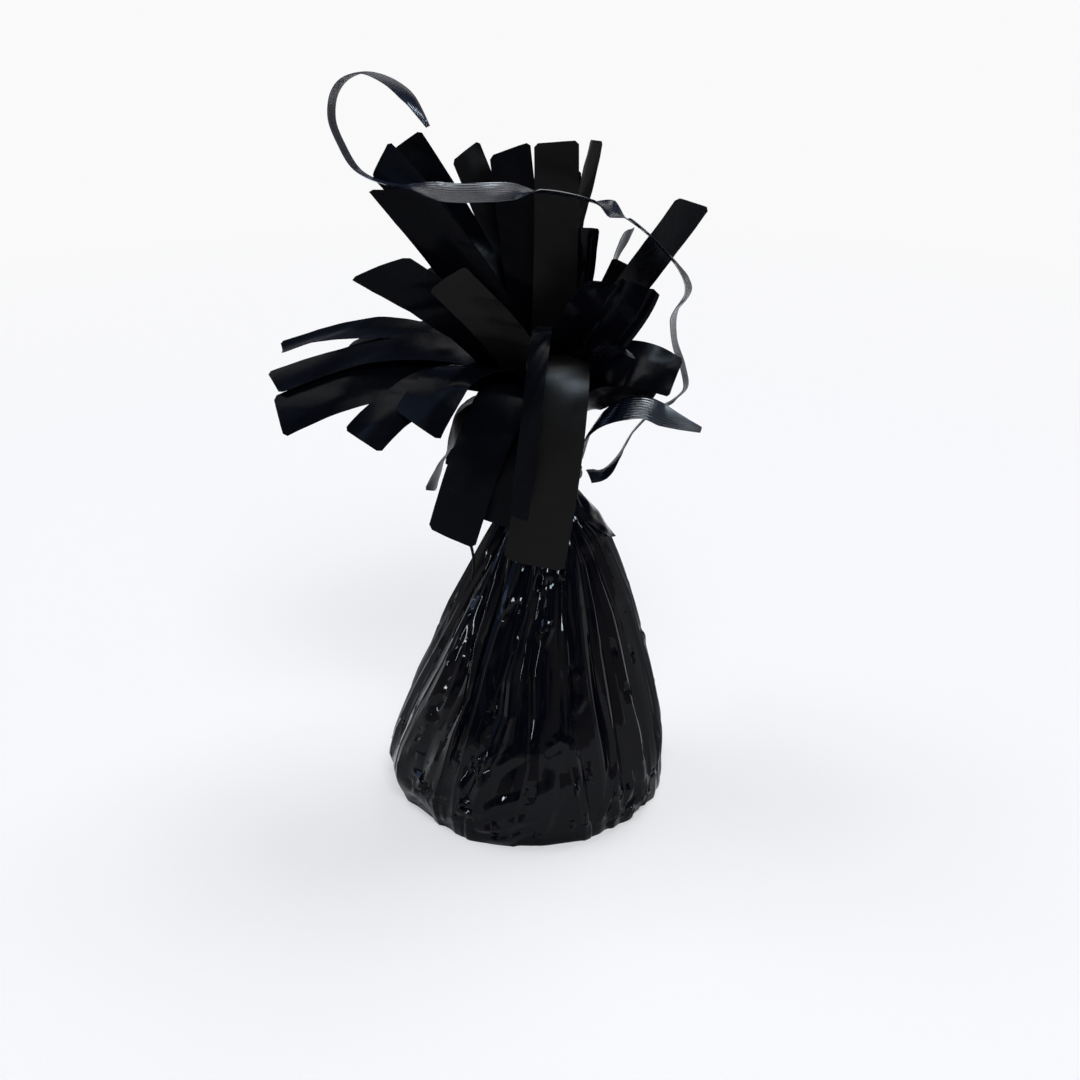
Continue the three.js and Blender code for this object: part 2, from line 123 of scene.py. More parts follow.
def cubic_curve(control, t):
    """Points of a curve with four control points at shares t of its way, and its directions there."""
    points = (
        (1 - t) ** 3 * control[0]
        + 3 * (1 - t) ** 2 * t * control[1]
        + 3 * (1 - t) * t**2 * control[2]
        + t**3 * control[3]
    )
    along = unit(
        3 * (1 - t) ** 2 * (control[1] - control[0])
        + 6 * (1 - t) * t * (control[2] - control[1])
        + 3 * t**2 * (control[3] - control[2])
    )
    return points, along


def squared(across, along):
    """Directions across, turned square to the directions along."""
    return unit(across - along * (across * along).sum(-1, keepdims=True))


# Meshes

# Angles in degrees from which an edge is sharp
FILM_SHARP = 38
WRAP_SHARP = 14
BAND_COLUMNS = 5


def mesh_object(name, points, faces, material, slot, *nodes, sharp):
    """A piece from points in millimetres. It rides on the part and stands for the nodes."""
    mesh = bpy.data.meshes.new(name)
    mesh.from_pydata((np.asarray(points) * MM).tolist(), [], faces)
    mesh.materials.append(material)
    mesh.validate()
    mesh.shade_smooth()
    mesh.set_sharp_from_angle(angle=math.radians(sharp))
    piece = bpy.data.objects.new(name, mesh)
    bpy.context.scene.collection.objects.link(piece)
    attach(piece, "root")
    if nodes:
        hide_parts(*nodes)
    return piece


def grid_faces(rows, columns, start=0, closed=False):
    """Quads of a grid of points, whose columns may close into a ring."""
    faces = []
    for i in range(rows - 1):
        here = start + i * columns
        above = here + columns
        for j in range(columns if closed else columns - 1):
            k = (j + 1) % columns
            faces.append((here + j, here + k, above + k, above + j))
    return faces


def flipped(faces, shift):
    """The same faces on points that come later by shift, turned to face the other way."""
    return [tuple(shift + k for k in reversed(face)) for face in faces]


def film_solid(name, grid, thickness, material, slot, *nodes):
    """A thin closed solid about a grid of points."""
    rows, columns = grid.shape[:2]
    normal = unit(np.cross(np.gradient(grid, axis=1), np.gradient(grid, axis=0)))
    top = (grid + normal * thickness / 2).reshape(-1, 3)
    bottom = (grid - normal * thickness / 2).reshape(-1, 3)
    count = rows * columns
    faces = grid_faces(rows, columns)
    faces += flipped(faces, count)
    edge = list(range(columns))
    edge += [i * columns + columns - 1 for i in range(1, rows)]
    edge += [(rows - 1) * columns + j for j in range(columns - 2, -1, -1)]
    edge += [i * columns for i in range(rows - 2, 0, -1)]
    for k, a in enumerate(edge):
        b = edge[(k + 1) % len(edge)]
        faces.append((b, a, count + a, count + b))
    return mesh_object(name, np.vstack([top, bottom]), faces, material, slot, *nodes, sharp=FILM_SHARP)


def band_solid(name, path, across, width, thickness, material, slot, *nodes):
    """A closed band along a path. Its direction across and its width may change from point to point."""
    across = squared(across, unit(np.gradient(path, axis=0)))
    columns = np.linspace(-0.5, 0.5, BAND_COLUMNS)
    grid = path[:, None] + across[:, None] * (np.reshape(width, (-1, 1)) * columns)[..., None]
    film_solid(name, grid, thickness, material, slot, *nodes)


# Materials

RIBBON_RIBS = 9
RIB_DEPTH = 0.04
ROUGHNESS_SPREAD = 0.08
PIT_FINENESS = 6


def fill(tree, node, inputs):
    """Sets a node's inputs by name or number, to constants or to the outputs of other nodes."""
    for socket, value in inputs.items():
        if isinstance(value, bpy.types.NodeSocket):
            tree.links.new(value, node.inputs[socket])
        else:
            node.inputs[socket].default_value = value


def add_node(tree, kind, inputs=None, **settings):
    node = tree.nodes.new("ShaderNode" + kind)
    for name, value in settings.items():
        setattr(node, name, value)
    fill(tree, node, inputs or {})
    return node


def new_material(name):
    """A material with its nodes and its shader."""
    material = bpy.data.materials.new(name)
    material.use_nodes = True
    return material, material.node_tree, material.node_tree.nodes["Principled BSDF"]


def noise(tree, scale, detail):
    """The value of a noise texture in object coordinates, with scale cycles per metre."""
    place = add_node(tree, "TexCoord").outputs["Object"]
    return add_node(tree, "TexNoise", {"Vector": place, "Scale": scale, "Detail": detail}).outputs["Fac"]


def ranged(tree, source, low, high, from_low=0.3, from_high=0.7):
    """A value that goes from low to high as the source goes from from_low to from_high."""
    inputs = {"Value": source, "From Min": from_low, "From Max": from_high, "To Min": low, "To Max": high}
    return add_node(tree, "MapRange", inputs).outputs["Result"]


def maths(tree, operation, first, second=0):
    return add_node(tree, "Math", {0: first, 1: second}, operation=operation).outputs[0]


def opaque(colour):
    """A colour with its alpha, or another node's output as it is."""
    return (*colour, 1) if isinstance(colour, tuple) else colour


def mixed_colour(tree, share, first, second):
    """Two colours mixed by a share. The numbers are those that the node gives its sockets for colours."""
    inputs = {0: share, 6: opaque(first), 7: opaque(second)}
    return add_node(tree, "Mix", inputs, data_type="RGBA").outputs[2]


def bumped(tree, layers, strength=1.0):
    """Bumps laid one on another. A layer is a height output and its depth in millimetres."""
    last = None
    for height, depth in layers:
        inputs = {"Strength": strength, "Distance": depth * MM, "Height": height}
        if last:
            inputs["Normal"] = last
        last = add_node(tree, "Bump", inputs).outputs["Normal"]
    return last


def film_material(name, colours, roughness, specular, wrinkle, grain):
    """Black metallised film: a weak, slightly hazy mirror, with wrinkles and a grain of the given depths."""
    material, tree, shader = new_material(name)
    haze = noise(tree, scale=160, detail=4)
    tint = noise(tree, scale=90, detail=2)
    wrinkles = noise(tree, scale=420, detail=2)
    grains = noise(tree, scale=1500, detail=2)
    fill(tree, shader, {
        "Metallic": 0,
        "Specular IOR Level": specular,
        "Base Color": mixed_colour(tree, tint, *colours),
        "Roughness": ranged(tree, haze, *roughness),
        "Normal": bumped(tree, [(wrinkles, wrinkle), (grains, grain)]),
    })
    return material


def ribbon_material():
    """Curling ribbon: glossy dark polypropylene, ribbed along its length by its map coordinates."""
    material, tree, shader = new_material("curling_ribbon")
    place = add_node(tree, "UVMap", uv_map="ribbon").outputs["UV"]
    across = add_node(tree, "SeparateXYZ", {"Vector": place}).outputs["X"]
    ribs = maths(tree, "SINE", maths(tree, "MULTIPLY", across, 2 * math.pi * RIBBON_RIBS))
    haze = noise(tree, scale=300, detail=3)
    fill(tree, shader, {
        "Specular IOR Level": 0.5,
        "Base Color": mixed_colour(tree, haze, (0.002, 0.003, 0.007), (0.006, 0.008, 0.015)),
        "Roughness": ranged(tree, haze, 0.1, 0.2),
        "Normal": bumped(tree, [(ribs, RIB_DEPTH)]),
    })
    return material


def plain_material(name, dark, light, scale, roughness, depth):
    """A dull material with mottled colour and a surface that is rough to a depth."""
    material, tree, shader = new_material(name)
    mottle = noise(tree, scale, detail=5)
    pits = noise(tree, scale * PIT_FINENESS, detail=4)
    fill(tree, shader, {
        "Base Color": mixed_colour(tree, mottle, dark, light),
        "Roughness": ranged(tree, pits, roughness - ROUGHNESS_SPREAD, roughness + ROUGHNESS_SPREAD),
        "Normal": bumped(tree, [(mottle, depth), (pits, depth / 3)], strength=0.7),
    })
    return material


NAVY = ((0.0010, 0.0012, 0.0024), (0.0020, 0.0023, 0.0040))
GREY = ((0.0036, 0.0033, 0.0031), (0.0052, 0.0048, 0.0045))
wrap_film = film_material("wrap_film", NAVY, (0.03, 0.06), specular=0.14, wrinkle=0.012, grain=0.002)
# The strips show glossy film, rubbed film, or its dull inner face, which is a warmer grey
glossy = film_material("strip_film", NAVY, (0.12, 0.24), specular=0.08, wrinkle=0.03, grain=0.004)
rubbed = film_material("strip_dull", NAVY, (0.2, 0.32), specular=0.04, wrinkle=0.03, grain=0.004)
inner = film_material("strip_back", GREY, (0.28, 0.38), specular=0.08, wrinkle=0.03, grain=0.006)
ribbon_film = ribbon_material()
tie_look = plain_material("tie_sleeve", (0.006, 0.006, 0.007), (0.016, 0.016, 0.018), 900, 0.42, 0.04)
cup_look = plain_material("moulded_cup", (0.24, 0.25, 0.26), (0.34, 0.35, 0.36), 140, 0.42, 0.03)
plug_look = plain_material("cast_plug", (0.22, 0.20, 0.17), (0.42, 0.39, 0.34), 420, 0.88, 0.25)
card_look = plain_material("grey_card", (0.20, 0.16, 0.10), (0.32, 0.26, 0.18), 700, 0.85, 0.08)

# The pieces hidden in the wrap keep their solids' shapes
for node, look in [("core_cup", cup_look), ("core_plug", plug_look), ("base_card", card_look)]:
    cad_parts[node].data.materials.clear()
    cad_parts[node].data.materials.append(look)


# Ribbon

RIBBON_WIDTH = 5.0
RIBBON_THICKNESS = 0.14
RIBBON_COLUMNS = 7
RIBBON_CUP = 0.35
RIBBON_TIP_SHARE = 0.25
RIBBON_MAP_LENGTH = 10
LONG_END = [
    (8.6, -6.8, 3.3), (11.5, -6, 3.6), (15, -2.5, 6), (18.5, 1, 10.5), (23, 4, 14), (27, 6, 15.5),
    (29.5, 7, 18), (29, 8, 22), (27, 6.5, 28.5), (26.5, 3, 35.5), (28.5, -3, 43), (26.5, -8, 49.5),
    (22, -10, 55.5), (16.5, -11, 60.5), (10, -11, 64), (2.5, -11, 66), (-4.5, -11, 66.5), (-11.5, -12, 66.5),
    (-19.5, -14, 67), (-27, -15, 68.5), (-33, -13, 69), (-38, -9, 70.5), (-41, -6, 74.5), (-43, -3, 79),
    (-42.5, -1, 83.5), (-40.5, 0, 86), (-36.5, 1, 87), (-32, 1, 85.5), (-28, 0, 82.5), (-26, -1, 80),
    (-24, -2, 77),
]
SHORT_END = [
    (6.4, -5, 5.9), (8.5, -5.5, 12), (11.5, -6, 16), (15.5, -7, 18.5), (20, -7, 19), (24.5, -7, 17),
    (28, -7, 15.5), (32, -7, 14),
]
# Where the ribbon's width points, at shares of its length
LONG_ACROSS = [
    (0, (0.25, 0.95, 0.2)), (0.12, (0.3, 0.9, -0.1)), (0.3, (0.2, 0.97, -0.35)), (0.46, (0.1, 0.92, -0.4)),
    (0.48, (0.3, 0.8, 0.4)), (0.5, (0.1, 0.92, -0.38)), (0.56, (0.05, 0.91, -0.42)), (0.59, (0, 0.82, 0.42)),
    (0.61, (0, 0.8, 0.5)), (0.67, (0, 0.8, 0.48)), (0.71, (0.05, 0.92, -0.2)), (0.78, (0.25, 0.92, -0.3)),
    (0.87, (0.2, 0.93, -0.3)), (0.92, (0.3, 0.9, -0.1)), (0.96, (0.4, 0.85, 0.05)), (1, (0.45, 0.8, 0.15)),
]
SHORT_ACROSS = [(0, (0.3, 0.9, -0.3)), (0.5, (0.2, 0.6, 0.7)), (1, (0.1, 0.5, 0.8))]


def build_ribbon(name, route, across_keys, node, samples, tip_length):
    """A flat ribbon along a route from the neck's middle. Its end is cut to a slant."""
    path, length = catmull_rom(np.array(route) + NECK, samples)
    share = np.linspace(0, 1, samples)
    along = unit(np.gradient(path, axis=0))
    axes = [table_value(share, [(key, across[i]) for key, across in across_keys]) for i in range(3)]
    across = squared(np.stack(axes, axis=1), along)
    normal = np.cross(along, across)
    columns = np.linspace(-0.5, 0.5, RIBBON_COLUMNS)
    left = length * (1 - share)
    width = RIBBON_WIDTH * lerp(RIBBON_TIP_SHARE, 1, np.clip(left / tip_length, 0, 1))
    grid = path[:, None] + across[:, None] * (width[:, None] * columns)[..., None]
    cup = RIBBON_CUP * (1 - 4 * columns**2)
    grid = grid + normal[:, None] * cup[None, :, None]
    piece = film_solid(name, grid, RIBBON_THICKNESS, ribbon_film, "ribbon", node)
    layer = piece.data.uv_layers.new(name="ribbon")
    for loop in piece.data.loops:
        row, column = divmod(loop.vertex_index % (samples * RIBBON_COLUMNS), RIBBON_COLUMNS)
        layer.data[loop.index].uv = (column / (RIBBON_COLUMNS - 1), row / samples * RIBBON_MAP_LENGTH)


build_ribbon("ribbon_long", LONG_END, LONG_ACROSS, "ribbon_long_end", samples=260, tip_length=8.0)
build_ribbon("ribbon_short", SHORT_END, SHORT_ACROSS, "ribbon_short_end", samples=70, tip_length=9.0)


# Tassel

# The strips' roots stand in rings inside the neck, as far in as the thickness of the solids asks
WRAP_WALL = 0.3
STRIP_WALL = 0.2
OUTERMOST_RING = NECK_RADIUS - NECK_PLEAT_REACH - WRAP_WALL - CLEARANCE - STRIP_WALL / 2
RING_SPACING = 0.7
RING_COUNT = 5
ROOT_DEPTH = 2.0
ROOT_WIDTH = 1.1
FILM_THICKNESS = 0.08

# Name, look, ring, root angle, rise, bend, tip, direction of the tip's width, width
STRIPS = [
    ("top_strip", inner, 0, 278, 20, (2, -4, 44), (1.6, -2, 74), (1, 0, 0.05), 9),
    ("top_left_strip", rubbed, 0, 206, 20, (-5, 2, 44), (-7.8, 3, 71.3), (1, 0, -0.2), 8.5),
    ("top_sliver", inner, 0, 62, 20, (5, 7, 45), (9.5, 7, 72), (-0.3, 0.95, 0), 6),
    ("top_back_strip", glossy, 0, 134, 20, (-3, 11, 42), (-8, 13, 60), (1, 0.2, 0), 8),
    ("right_curl_strip", glossy, 0, 352, 20, (6, -1.5, 40), (7.8, -1.5, 56), (0.7, -0.3, -0.65), 6.5),
    ("high_right_strip", rubbed, 1, 0, 25, (13, 0, 36), (29.4, 0, 61), (0.6, 0.55, -0.5), 10),
    ("right_leaf_strip", glossy, 1, 50, 25, (9, 13, 32), (17.4, 17, 50), (0.3, 0.9, -0.2), 6),
    ("back_high_strip", glossy, 1, 80, 25, (3, 16, 42), (3, 20, 62), (1, 0, 0), 8),
    ("high_back_left_strip", inner, 1, 120, 25, (-7, 12, 42), (-17.3, 14, 68), (0.9, 0.3, -0.1), 7),
    ("high_left_strip", rubbed, 1, 160, 25, (-14, 7, 47), (-29.4, 8, 71.5), (0.85, 0.2, 0.4), 8),
    ("upper_left_strip", rubbed, 1, 196, 25, (-15, 2, 48), (-34.1, 0, 69.8), (0.4, 0.75, 0.55), 9),
    ("fan_left_strip", rubbed, 1, 236, 25, (-14.5, -8, 47), (-29.2, -10, 66.4), (0.9, -0.2, 0.4), 10.5),
    ("front_up_strip", rubbed, 1, 300, 25, (4, -11.5, 41), (11, -17.5, 49.5), (1, 0.3, -0.2), 8),
    ("right_back_strip", inner, 2, 30, 25, (11, 5, 32), (17, 5, 46), (0.8, 0.3, -0.5), 9),
    ("back_right_strip", inner, 2, 62, 25, (10, 18, 34), (15, 31, 34), (0.8, -0.5, 0.2), 10),
    ("back_strip", glossy, 2, 90, 25, (1, 20, 42), (2, 38, 51), (1, 0, 0.1), 10),
    ("back_left_high_strip", glossy, 2, 116, 25, (-3, 20, 38), (-9, 37, 42), (0.9, 0.3, 0.1), 10),
    ("back_left_strip", inner, 2, 146, 25, (-16, 14, 38), (-26, 28, 38), (0.6, 0.6, 0.3), 10),
    ("left_back_point_strip", rubbed, 2, 171, 25, (-24, 9, 37), (-57, 11, 25), (0, 0.95, 0.1), 9),
    ("left_point_strip", rubbed, 2, 195, 25, (-22, 1, 38), (-58, 0, 22), (0.1, 0.85, 0.3), 9),
    ("left_upper_strip", rubbed, 2, 218, 25, (-18, -9, 40), (-34, -11, 51), (0.66, -0.3, 0.7), 12),
    ("fan_left_low_strip", inner, 2, 252, 25, (-9, -15, 38), (-20, -18, 51), (0.75, -0.3, 0.55), 10),
    ("front_right_short_strip", rubbed, 2, 303, 28, (12.5, -11, 35), (14, -22, 36.5), (1, 0.3, -0.4), 7),
    ("right_front_strip", rubbed, 2, 328, 26, (14, -6, 32), (18.5, -8, 46), (0.8, -0.2, -0.6), 9),
    ("right_tip_strip", rubbed, 2, 353, 24, (15, -6, 32), (26.4, -8, 25.8), (0.3, -0.6, -0.7), 10),
    ("low_right_strip", rubbed, 3, 352, 16, (13, -2, 24), (22, -2, 19), (0.4, 0.3, -0.8), 9),
    ("low_right_back_strip", glossy, 3, 20, 24, (14, 10, 30), (20, 20, 22), (-0.5, 0.8, 0.2), 10),
    ("low_back_right_strip", glossy, 3, 66, 24, (8, 24, 34), (16, 40, 18), (0.8, -0.5, 0), 10),
    ("low_back_strip", glossy, 3, 95, 24, (-2, 24, 36), (-4, 44, 20), (1, 0, 0.2), 10),
    ("low_back_left_strip", inner, 3, 128, 24, (-15, 20, 34), (-28, 37, 18), (0.7, 0.6, 0), 10),
    ("low_left_back_strip", inner, 3, 152, 24, (-22, 12, 34), (-45, 22, 20), (0.4, 0.8, 0.2), 10),
    ("low_left_strip", rubbed, 3, 176, 24, (-24, -4, 32), (-56.4, -7, 17), (0.6, -0.6, -0.5), 10),
    ("low_left_block_strip", rubbed, 3, 197, 24, (-22, -9, 35), (-38.7, -15, 15), (0.75, -0.6, -0.2), 10.5),
    ("low_front_left_strip", rubbed, 3, 216, 26, (-18, -12, 37), (-27, -19, 20), (0.95, -0.3, 0.1), 12),
    ("hanging_back_right_strip", glossy, 4, 42, 16, (13, 20, 22), (14, 22, 10), (0.7, -0.7, 0), 10),
    ("hanging_back_strip", glossy, 4, 84, 18, (0, 26, 26), (-1, 24, -6), (1, 0, 0), 10),
    ("hanging_back_left_strip", glossy, 4, 136, 16, (-16, 20, 22), (-19, 20, -4), (0.7, 0.7, 0), 10),
    ("hanging_left_behind_strip", inner, 4, 200, 16, (-18, -6, 22), (-24.5, -9, 1), (0.4, 0.7, 0.5), 9),
    ("hanging_left_strip", rubbed, 4, 231, 29, (-9, -20, 35.5), (-20.3, -18, -6), (0.9, -0.35, -0.3), 11),
    ("hanging_middle_strip", rubbed, 4, 248, 22, (-3.5, -17, 26), (-11.5, -15.5, -3.5), (1, -0.1, 0), 10),
    ("hanging_narrow_strip", rubbed, 4, 266, 56, (-1, -30, 44), (-6.1, -24, 1.2), (1, 0, 0), 4),
    ("hanging_front_strip", inner, 4, 284, 46, (5, -22, 36), (-3, -17.5, -12.4), (1, 0, -0.15), 13),
]
STRIP_ROWS = 64
STRIP_COLUMNS = 11
STRIP_SEED = 100

# What some strips have of their own: opened is where along its length the strip is at full width
STRIP_TRAITS = {
    "hanging_front_strip": {"opened": 0.3, "crease": 0.0, "kinks": 0, "curl": 0.35, "slant": 0.3},
    "hanging_left_strip": {"opened": 0.3, "kinks": 1, "slant": 0.0},
    "hanging_middle_strip": {"opened": 0.3, "crease": 0.1, "kinks": 1, "slant": 0.0},
    "hanging_narrow_strip": {"opened": 0.25, "crease": 0.0, "kinks": 1, "slant": 0.3},
    "left_upper_strip": {"slant": -3.0, "kinks": 2},
    "fan_left_strip": {"slant": -3.5, "kinks": 1},
    "right_front_strip": {"pleats": 4, "opened": 0.35},
    "top_strip": {"crease": 0.1, "kinks": 1, "slant": 0.2},
    "high_right_strip": {"crease": 0.15, "kinks": 1},
    "right_curl_strip": {"curl": 1.6},
}
# What the other strips draw theirs from
TRAIT_RANGES = {"slant": (-0.8, 0.8), "opened": (0.3, 0.42), "curl": (0.06, 0.3), "crease": (0.1, 0.7)}
KINK_COUNTS = (1, 4)

# How crowded the columns are towards the edges, the soft corners of the cut end, how a root is curled, and
# the shares of the length where the width begins to open, where its turn ends, and where the waves grow
EDGE_CROWDING = 0.85
CORNER_CUT = 0.5
CORNER_START = 0.44
ROOT_CURL = 2.6
SPREAD_START = 0.03
TURN_END = 0.8
WAVES_GROW = (0.2, 0.5)
# A curve's length as a share of the length of its control lines
CURVE_SHARE = 0.85

# A twist that comes and goes, one lengthwise crease, and kinks across, in millimetres and shares of the strip
TWIST = (-0.9, 0.9)
TWIST_RATE = (0.8, 1.6)
CREASE_PLACE = (-0.28, 0.28)
CREASE_RUN = 5
PLEAT_HEIGHT = 1.1
KINK_PLACE = (0.35, 0.92)
KINK_SLOPE = (-0.16, 0.16)
KINK_HEIGHT = (0.4, 1.1)
KINK_REACH = 0.16
TREMBLE = 0.1
TREMBLE_RATE = 6


def trait(traits, kind, rng):
    """A strip's own value, or else one from the range. It is drawn either way, to keep the order of draws."""
    drawn = rng.uniform(*TRAIT_RANGES[kind])
    return traits.get(kind, drawn)


def strip_waves(u, share, width, traits, rng):
    """How far the film stands off its plain section at shares u of its length and share of its width."""
    twist = rng.uniform(*TWIST)
    rate = rng.uniform(*TWIST_RATE)
    phase = rng.uniform(0, 1)
    waves = twist * np.sin(math.pi * (u * rate + phase)) * share
    crease_at = rng.uniform(*CREASE_PLACE)
    waves = waves - trait(traits, "crease", rng) * np.abs(share - crease_at) * width / CREASE_RUN
    if "pleats" in traits:
        folds = share * traits["pleats"] + 0.25
        waves = waves + PLEAT_HEIGHT * (np.abs(2 * (folds - np.floor(folds + 0.5))) - 0.5)
    drawn_kinks = rng.integers(*KINK_COUNTS)
    for _ in range(traits.get("kinks", drawn_kinks)):
        kink_at = rng.uniform(*KINK_PLACE)
        slope = rng.uniform(*KINK_SLOPE)
        away = np.abs(u - kink_at - slope * share)
        lift = rng.uniform(*KINK_HEIGHT) * rng.choice([-1, 1])
        waves = waves + lift * np.clip(1 - away / KINK_REACH, 0, None)
    return waves + TREMBLE * wave_noise(u * TREMBLE_RATE + share, rng, 3)


def build_strip(number, name, look, ring, root, rise, bend, tip, tip_across, width):
    """One strip of film: gathered at its root, opening to its cut width, with its own creases and cut end."""
    rng = np.random.default_rng(STRIP_SEED + number)
    traits = STRIP_TRAITS.get(name, {})
    outward = round_points(math.radians(root), 1, 0)
    start = outward * (OUTERMOST_RING - (RING_COUNT - 1 - ring) * RING_SPACING)
    start = start + UP * (NECK_LENGTH - ROOT_DEPTH)
    control = np.array([start, start + UP * rise, bend, tip], float)
    length = np.linalg.norm(np.diff(control, axis=0), axis=1).sum() * CURVE_SHARE
    tip_across = unit(tip_across)
    root_across = np.array([-outward[1], outward[0], 0])
    if root_across @ tip_across < 0:
        root_across = -root_across

    share = np.linspace(-0.5, 0.5, STRIP_COLUMNS)
    share = np.sign(share) * 0.5 * (2 * np.abs(share)) ** EDGE_CROWDING
    # The cut end is a little slanted, and its corners are a little soft
    slant = trait(traits, "slant", rng) / length
    corner = CORNER_CUT / length * (np.abs(share) > CORNER_START)
    reach = 1 + slant * share * 2 - corner
    share = share[None, :]
    u = np.linspace(0, 1, STRIP_ROWS)[:, None] * reach[None, :]
    t = u[..., None]
    middle, along = cubic_curve(control, t)
    across = squared(lerp(root_across, tip_across, smoothstep(t, 0, TURN_END)), along)
    normal = np.cross(along, across)

    opened = trait(traits, "opened", rng)
    cut = lerp(ROOT_WIDTH, width, smoothstep(u, SPREAD_START, opened))
    # The film is curled across its width: turning is the angle that its section turns through
    turning = lerp(ROOT_CURL, trait(traits, "curl", rng), smoothstep(u, 0, opened))
    radius = cut / turning
    bearing = turning * share
    sideways = radius * np.sin(bearing)
    proud = radius * (np.cos(bearing) - 1) + radius * 0.5 * (1 - np.cos(turning / 2))
    proud = proud + strip_waves(u, share, width, traits, rng) * smoothstep(u, *WAVES_GROW)
    grid = NECK + middle + across * sideways[..., None] + normal * proud[..., None]
    film_solid(f"{name}_film", grid, FILM_THICKNESS, look, "foil", name)


for number, row in enumerate(STRIPS):
    build_strip(number, *row)


# Loose thread

THREAD = [(-16.6, -18.2, -5.6), (-15.8, -18.3, -9.0), (-15.6, -18.2, -12.4), (-16.0, -18.0, -15.6)]
THREAD_SAMPLES = 24
THREAD_WIDTHS = (0.7, 0.35)
THREAD_THICKNESS = 0.12


def build_thread():
    """A thread of film that hangs from the corner of a hanging strip."""
    path = catmull_rom(np.array(THREAD) + NECK, THREAD_SAMPLES)[0]
    width = np.linspace(*THREAD_WIDTHS, THREAD_SAMPLES)
    across = np.array([1.0, 0.3, 0.0])
    band_solid("loose_thread", path, across, width, THREAD_THICKNESS, rubbed, "foil")


build_thread()


# Wrap

OUTLINE = [(0, 29.5), (5.5, 30.6), (19, 28.2), (35, 22.6), (50, 16.9), (63, 11.4), (NECK_HEIGHT, NECK_RADIUS)]
FOOT_SLOPE = 0.45
WRAP_THICKNESS = 0.25
WRAP_SEED = 7
# Bands of height with their numbers of rows
WRAP_ROWS = [(0, 8, 38), (8, 30, 66), (30, NECK_TOP, 80)]
COLUMNS_PER_FOLD = 4

# Ridges seen from the front: how far they stand out, and (height, angle in degrees) from the neck down
FRONT_RIDGES = [
    (0.9, [(60.9, 203), (45, 197), (30, 190), (14, 184)]),
    (1.0, [(60.9, 216.8), (55.9, 215.5), (50.8, 212), (40.9, 209.4), (34.9, 208), (26.7, 204.7),
           (13.9, 198.2)]),
    (1.1, [(60.4, 222.6), (54.7, 226.3), (48.9, 227.6), (42, 228.4), (34.4, 232), (30.2, 233.2),
           (22.8, 231.7), (13.9, 230.7), (6.2, 228)]),
    (0.7, [(57.9, 247.6), (51.7, 244.6), (46.1, 241.4), (37.9, 239.8), (27.6, 240), (12, 238)]),
    (0.8, [(60, 261), (49, 259.1), (44.9, 257.1), (36.1, 255.3), (28.8, 256.9), (21.4, 253.1),
           (17, 248.9), (10.4, 244.4)]),
    (0.7, [(60, 270), (51.2, 268.4), (44.2, 264.9), (38.5, 264), (27.7, 266.5), (19.3, 268), (5.4, 263)]),
    (0.8, [(66, 277), (60, 275), (53.2, 274), (44.2, 274), (38.5, 271), (28.6, 273.5), (19.3, 273.5),
           (5.4, 274.7), (3.2, 276.5)]),
    (0.9, [(67, 291), (60, 286), (56.1, 287.1), (45.9, 286.5), (35.5, 287.8), (25.9, 288.7),
           (19.8, 290.4), (9.9, 294.5), (1.8, 297.1)]),
    (0.6, [(67.5, 295), (60, 297), (50.6, 296), (41.5, 296.6), (28, 299), (14, 302)]),
    (0.8, [(67.5, 299), (63, 304), (58.5, 307.8), (49.5, 309.3), (39.8, 308.4), (29.6, 308.9), (19, 310)]),
    (0.6, [(67.5, 303), (63, 309), (60, 313), (45, 316.5), (30, 317.5), (15, 318.5)]),
    (0.8, [(67.5, 307), (63, 315), (58.9, 318.9), (47.3, 323.6), (39.6, 324.2), (27, 324.5),
           (19.7, 326.2), (9.8, 326.8)]),
    (0.6, [(67.5, 311), (63, 321), (60, 324.5), (45, 331), (30, 333), (15, 333.5)]),
    (0.8, [(67.5, 316), (63, 328), (59.7, 330.8), (46, 340.6), (34.8, 341.8), (23.6, 341), (13.9, 340)]),
    (0.6, [(67.5, 323), (63, 335), (60, 338), (45, 348), (30, 349.5), (15, 349)]),
    (0.7, [(67.5, 333), (63, 344), (60, 347), (45, 356), (30, 357.5), (15, 357)]),
]
# Ridges of the back: how many, how unevenly they lie, how far they stand out, and how they wander
BACK_RIDGES = 19
BACK_SPREAD = 0.2
BACK_LIFT = 0.85
BACK_LIFT_SPREAD = 0.25
BACK_WANDER = 2.0
BACK_WANDER_HEIGHT = 14.0
# Radians from ridge to ridge, for the unevenness of their places and of how far they stand out
BACK_PACES = (2.4, 1.7)

# From this height to the neck the ridges even out
GATHER_START = 66
GATHER_SHARE = 0.8
# How far crests stand out and valleys lie in, at most as shares of the gap between ridges, how both wander up
# the wrap, and where in the gaps the valleys lie
CREST_SHARE = 0.24
CREST_UNEVENNESS = 0.2
CREST_WAVE = 60
VALLEY_DEPTH = (0.7, 1.15)
VALLEY_DEPTH_SHARE = 0.2
VALLEY_SHARES = (0.36, 0.64, 0.24, 0.72, 0.5)
VALLEY_WANDER = 0.08
VALLEY_WAVE = 45
# How full the pleats are at the foot and at the neck, and the heights between which that changes
FOOT_FULLNESS = 0.32
NECK_FULLNESS = 0.8
FILLING = (2, 26)
FLATTENING = (52, NECK_HEIGHT)
# The panels at the middle of the front are pulled flatter
TIGHT_MIDDLE = 266
TIGHT_HALF_WIDTH = 55
TIGHT_SHARE = 0.45

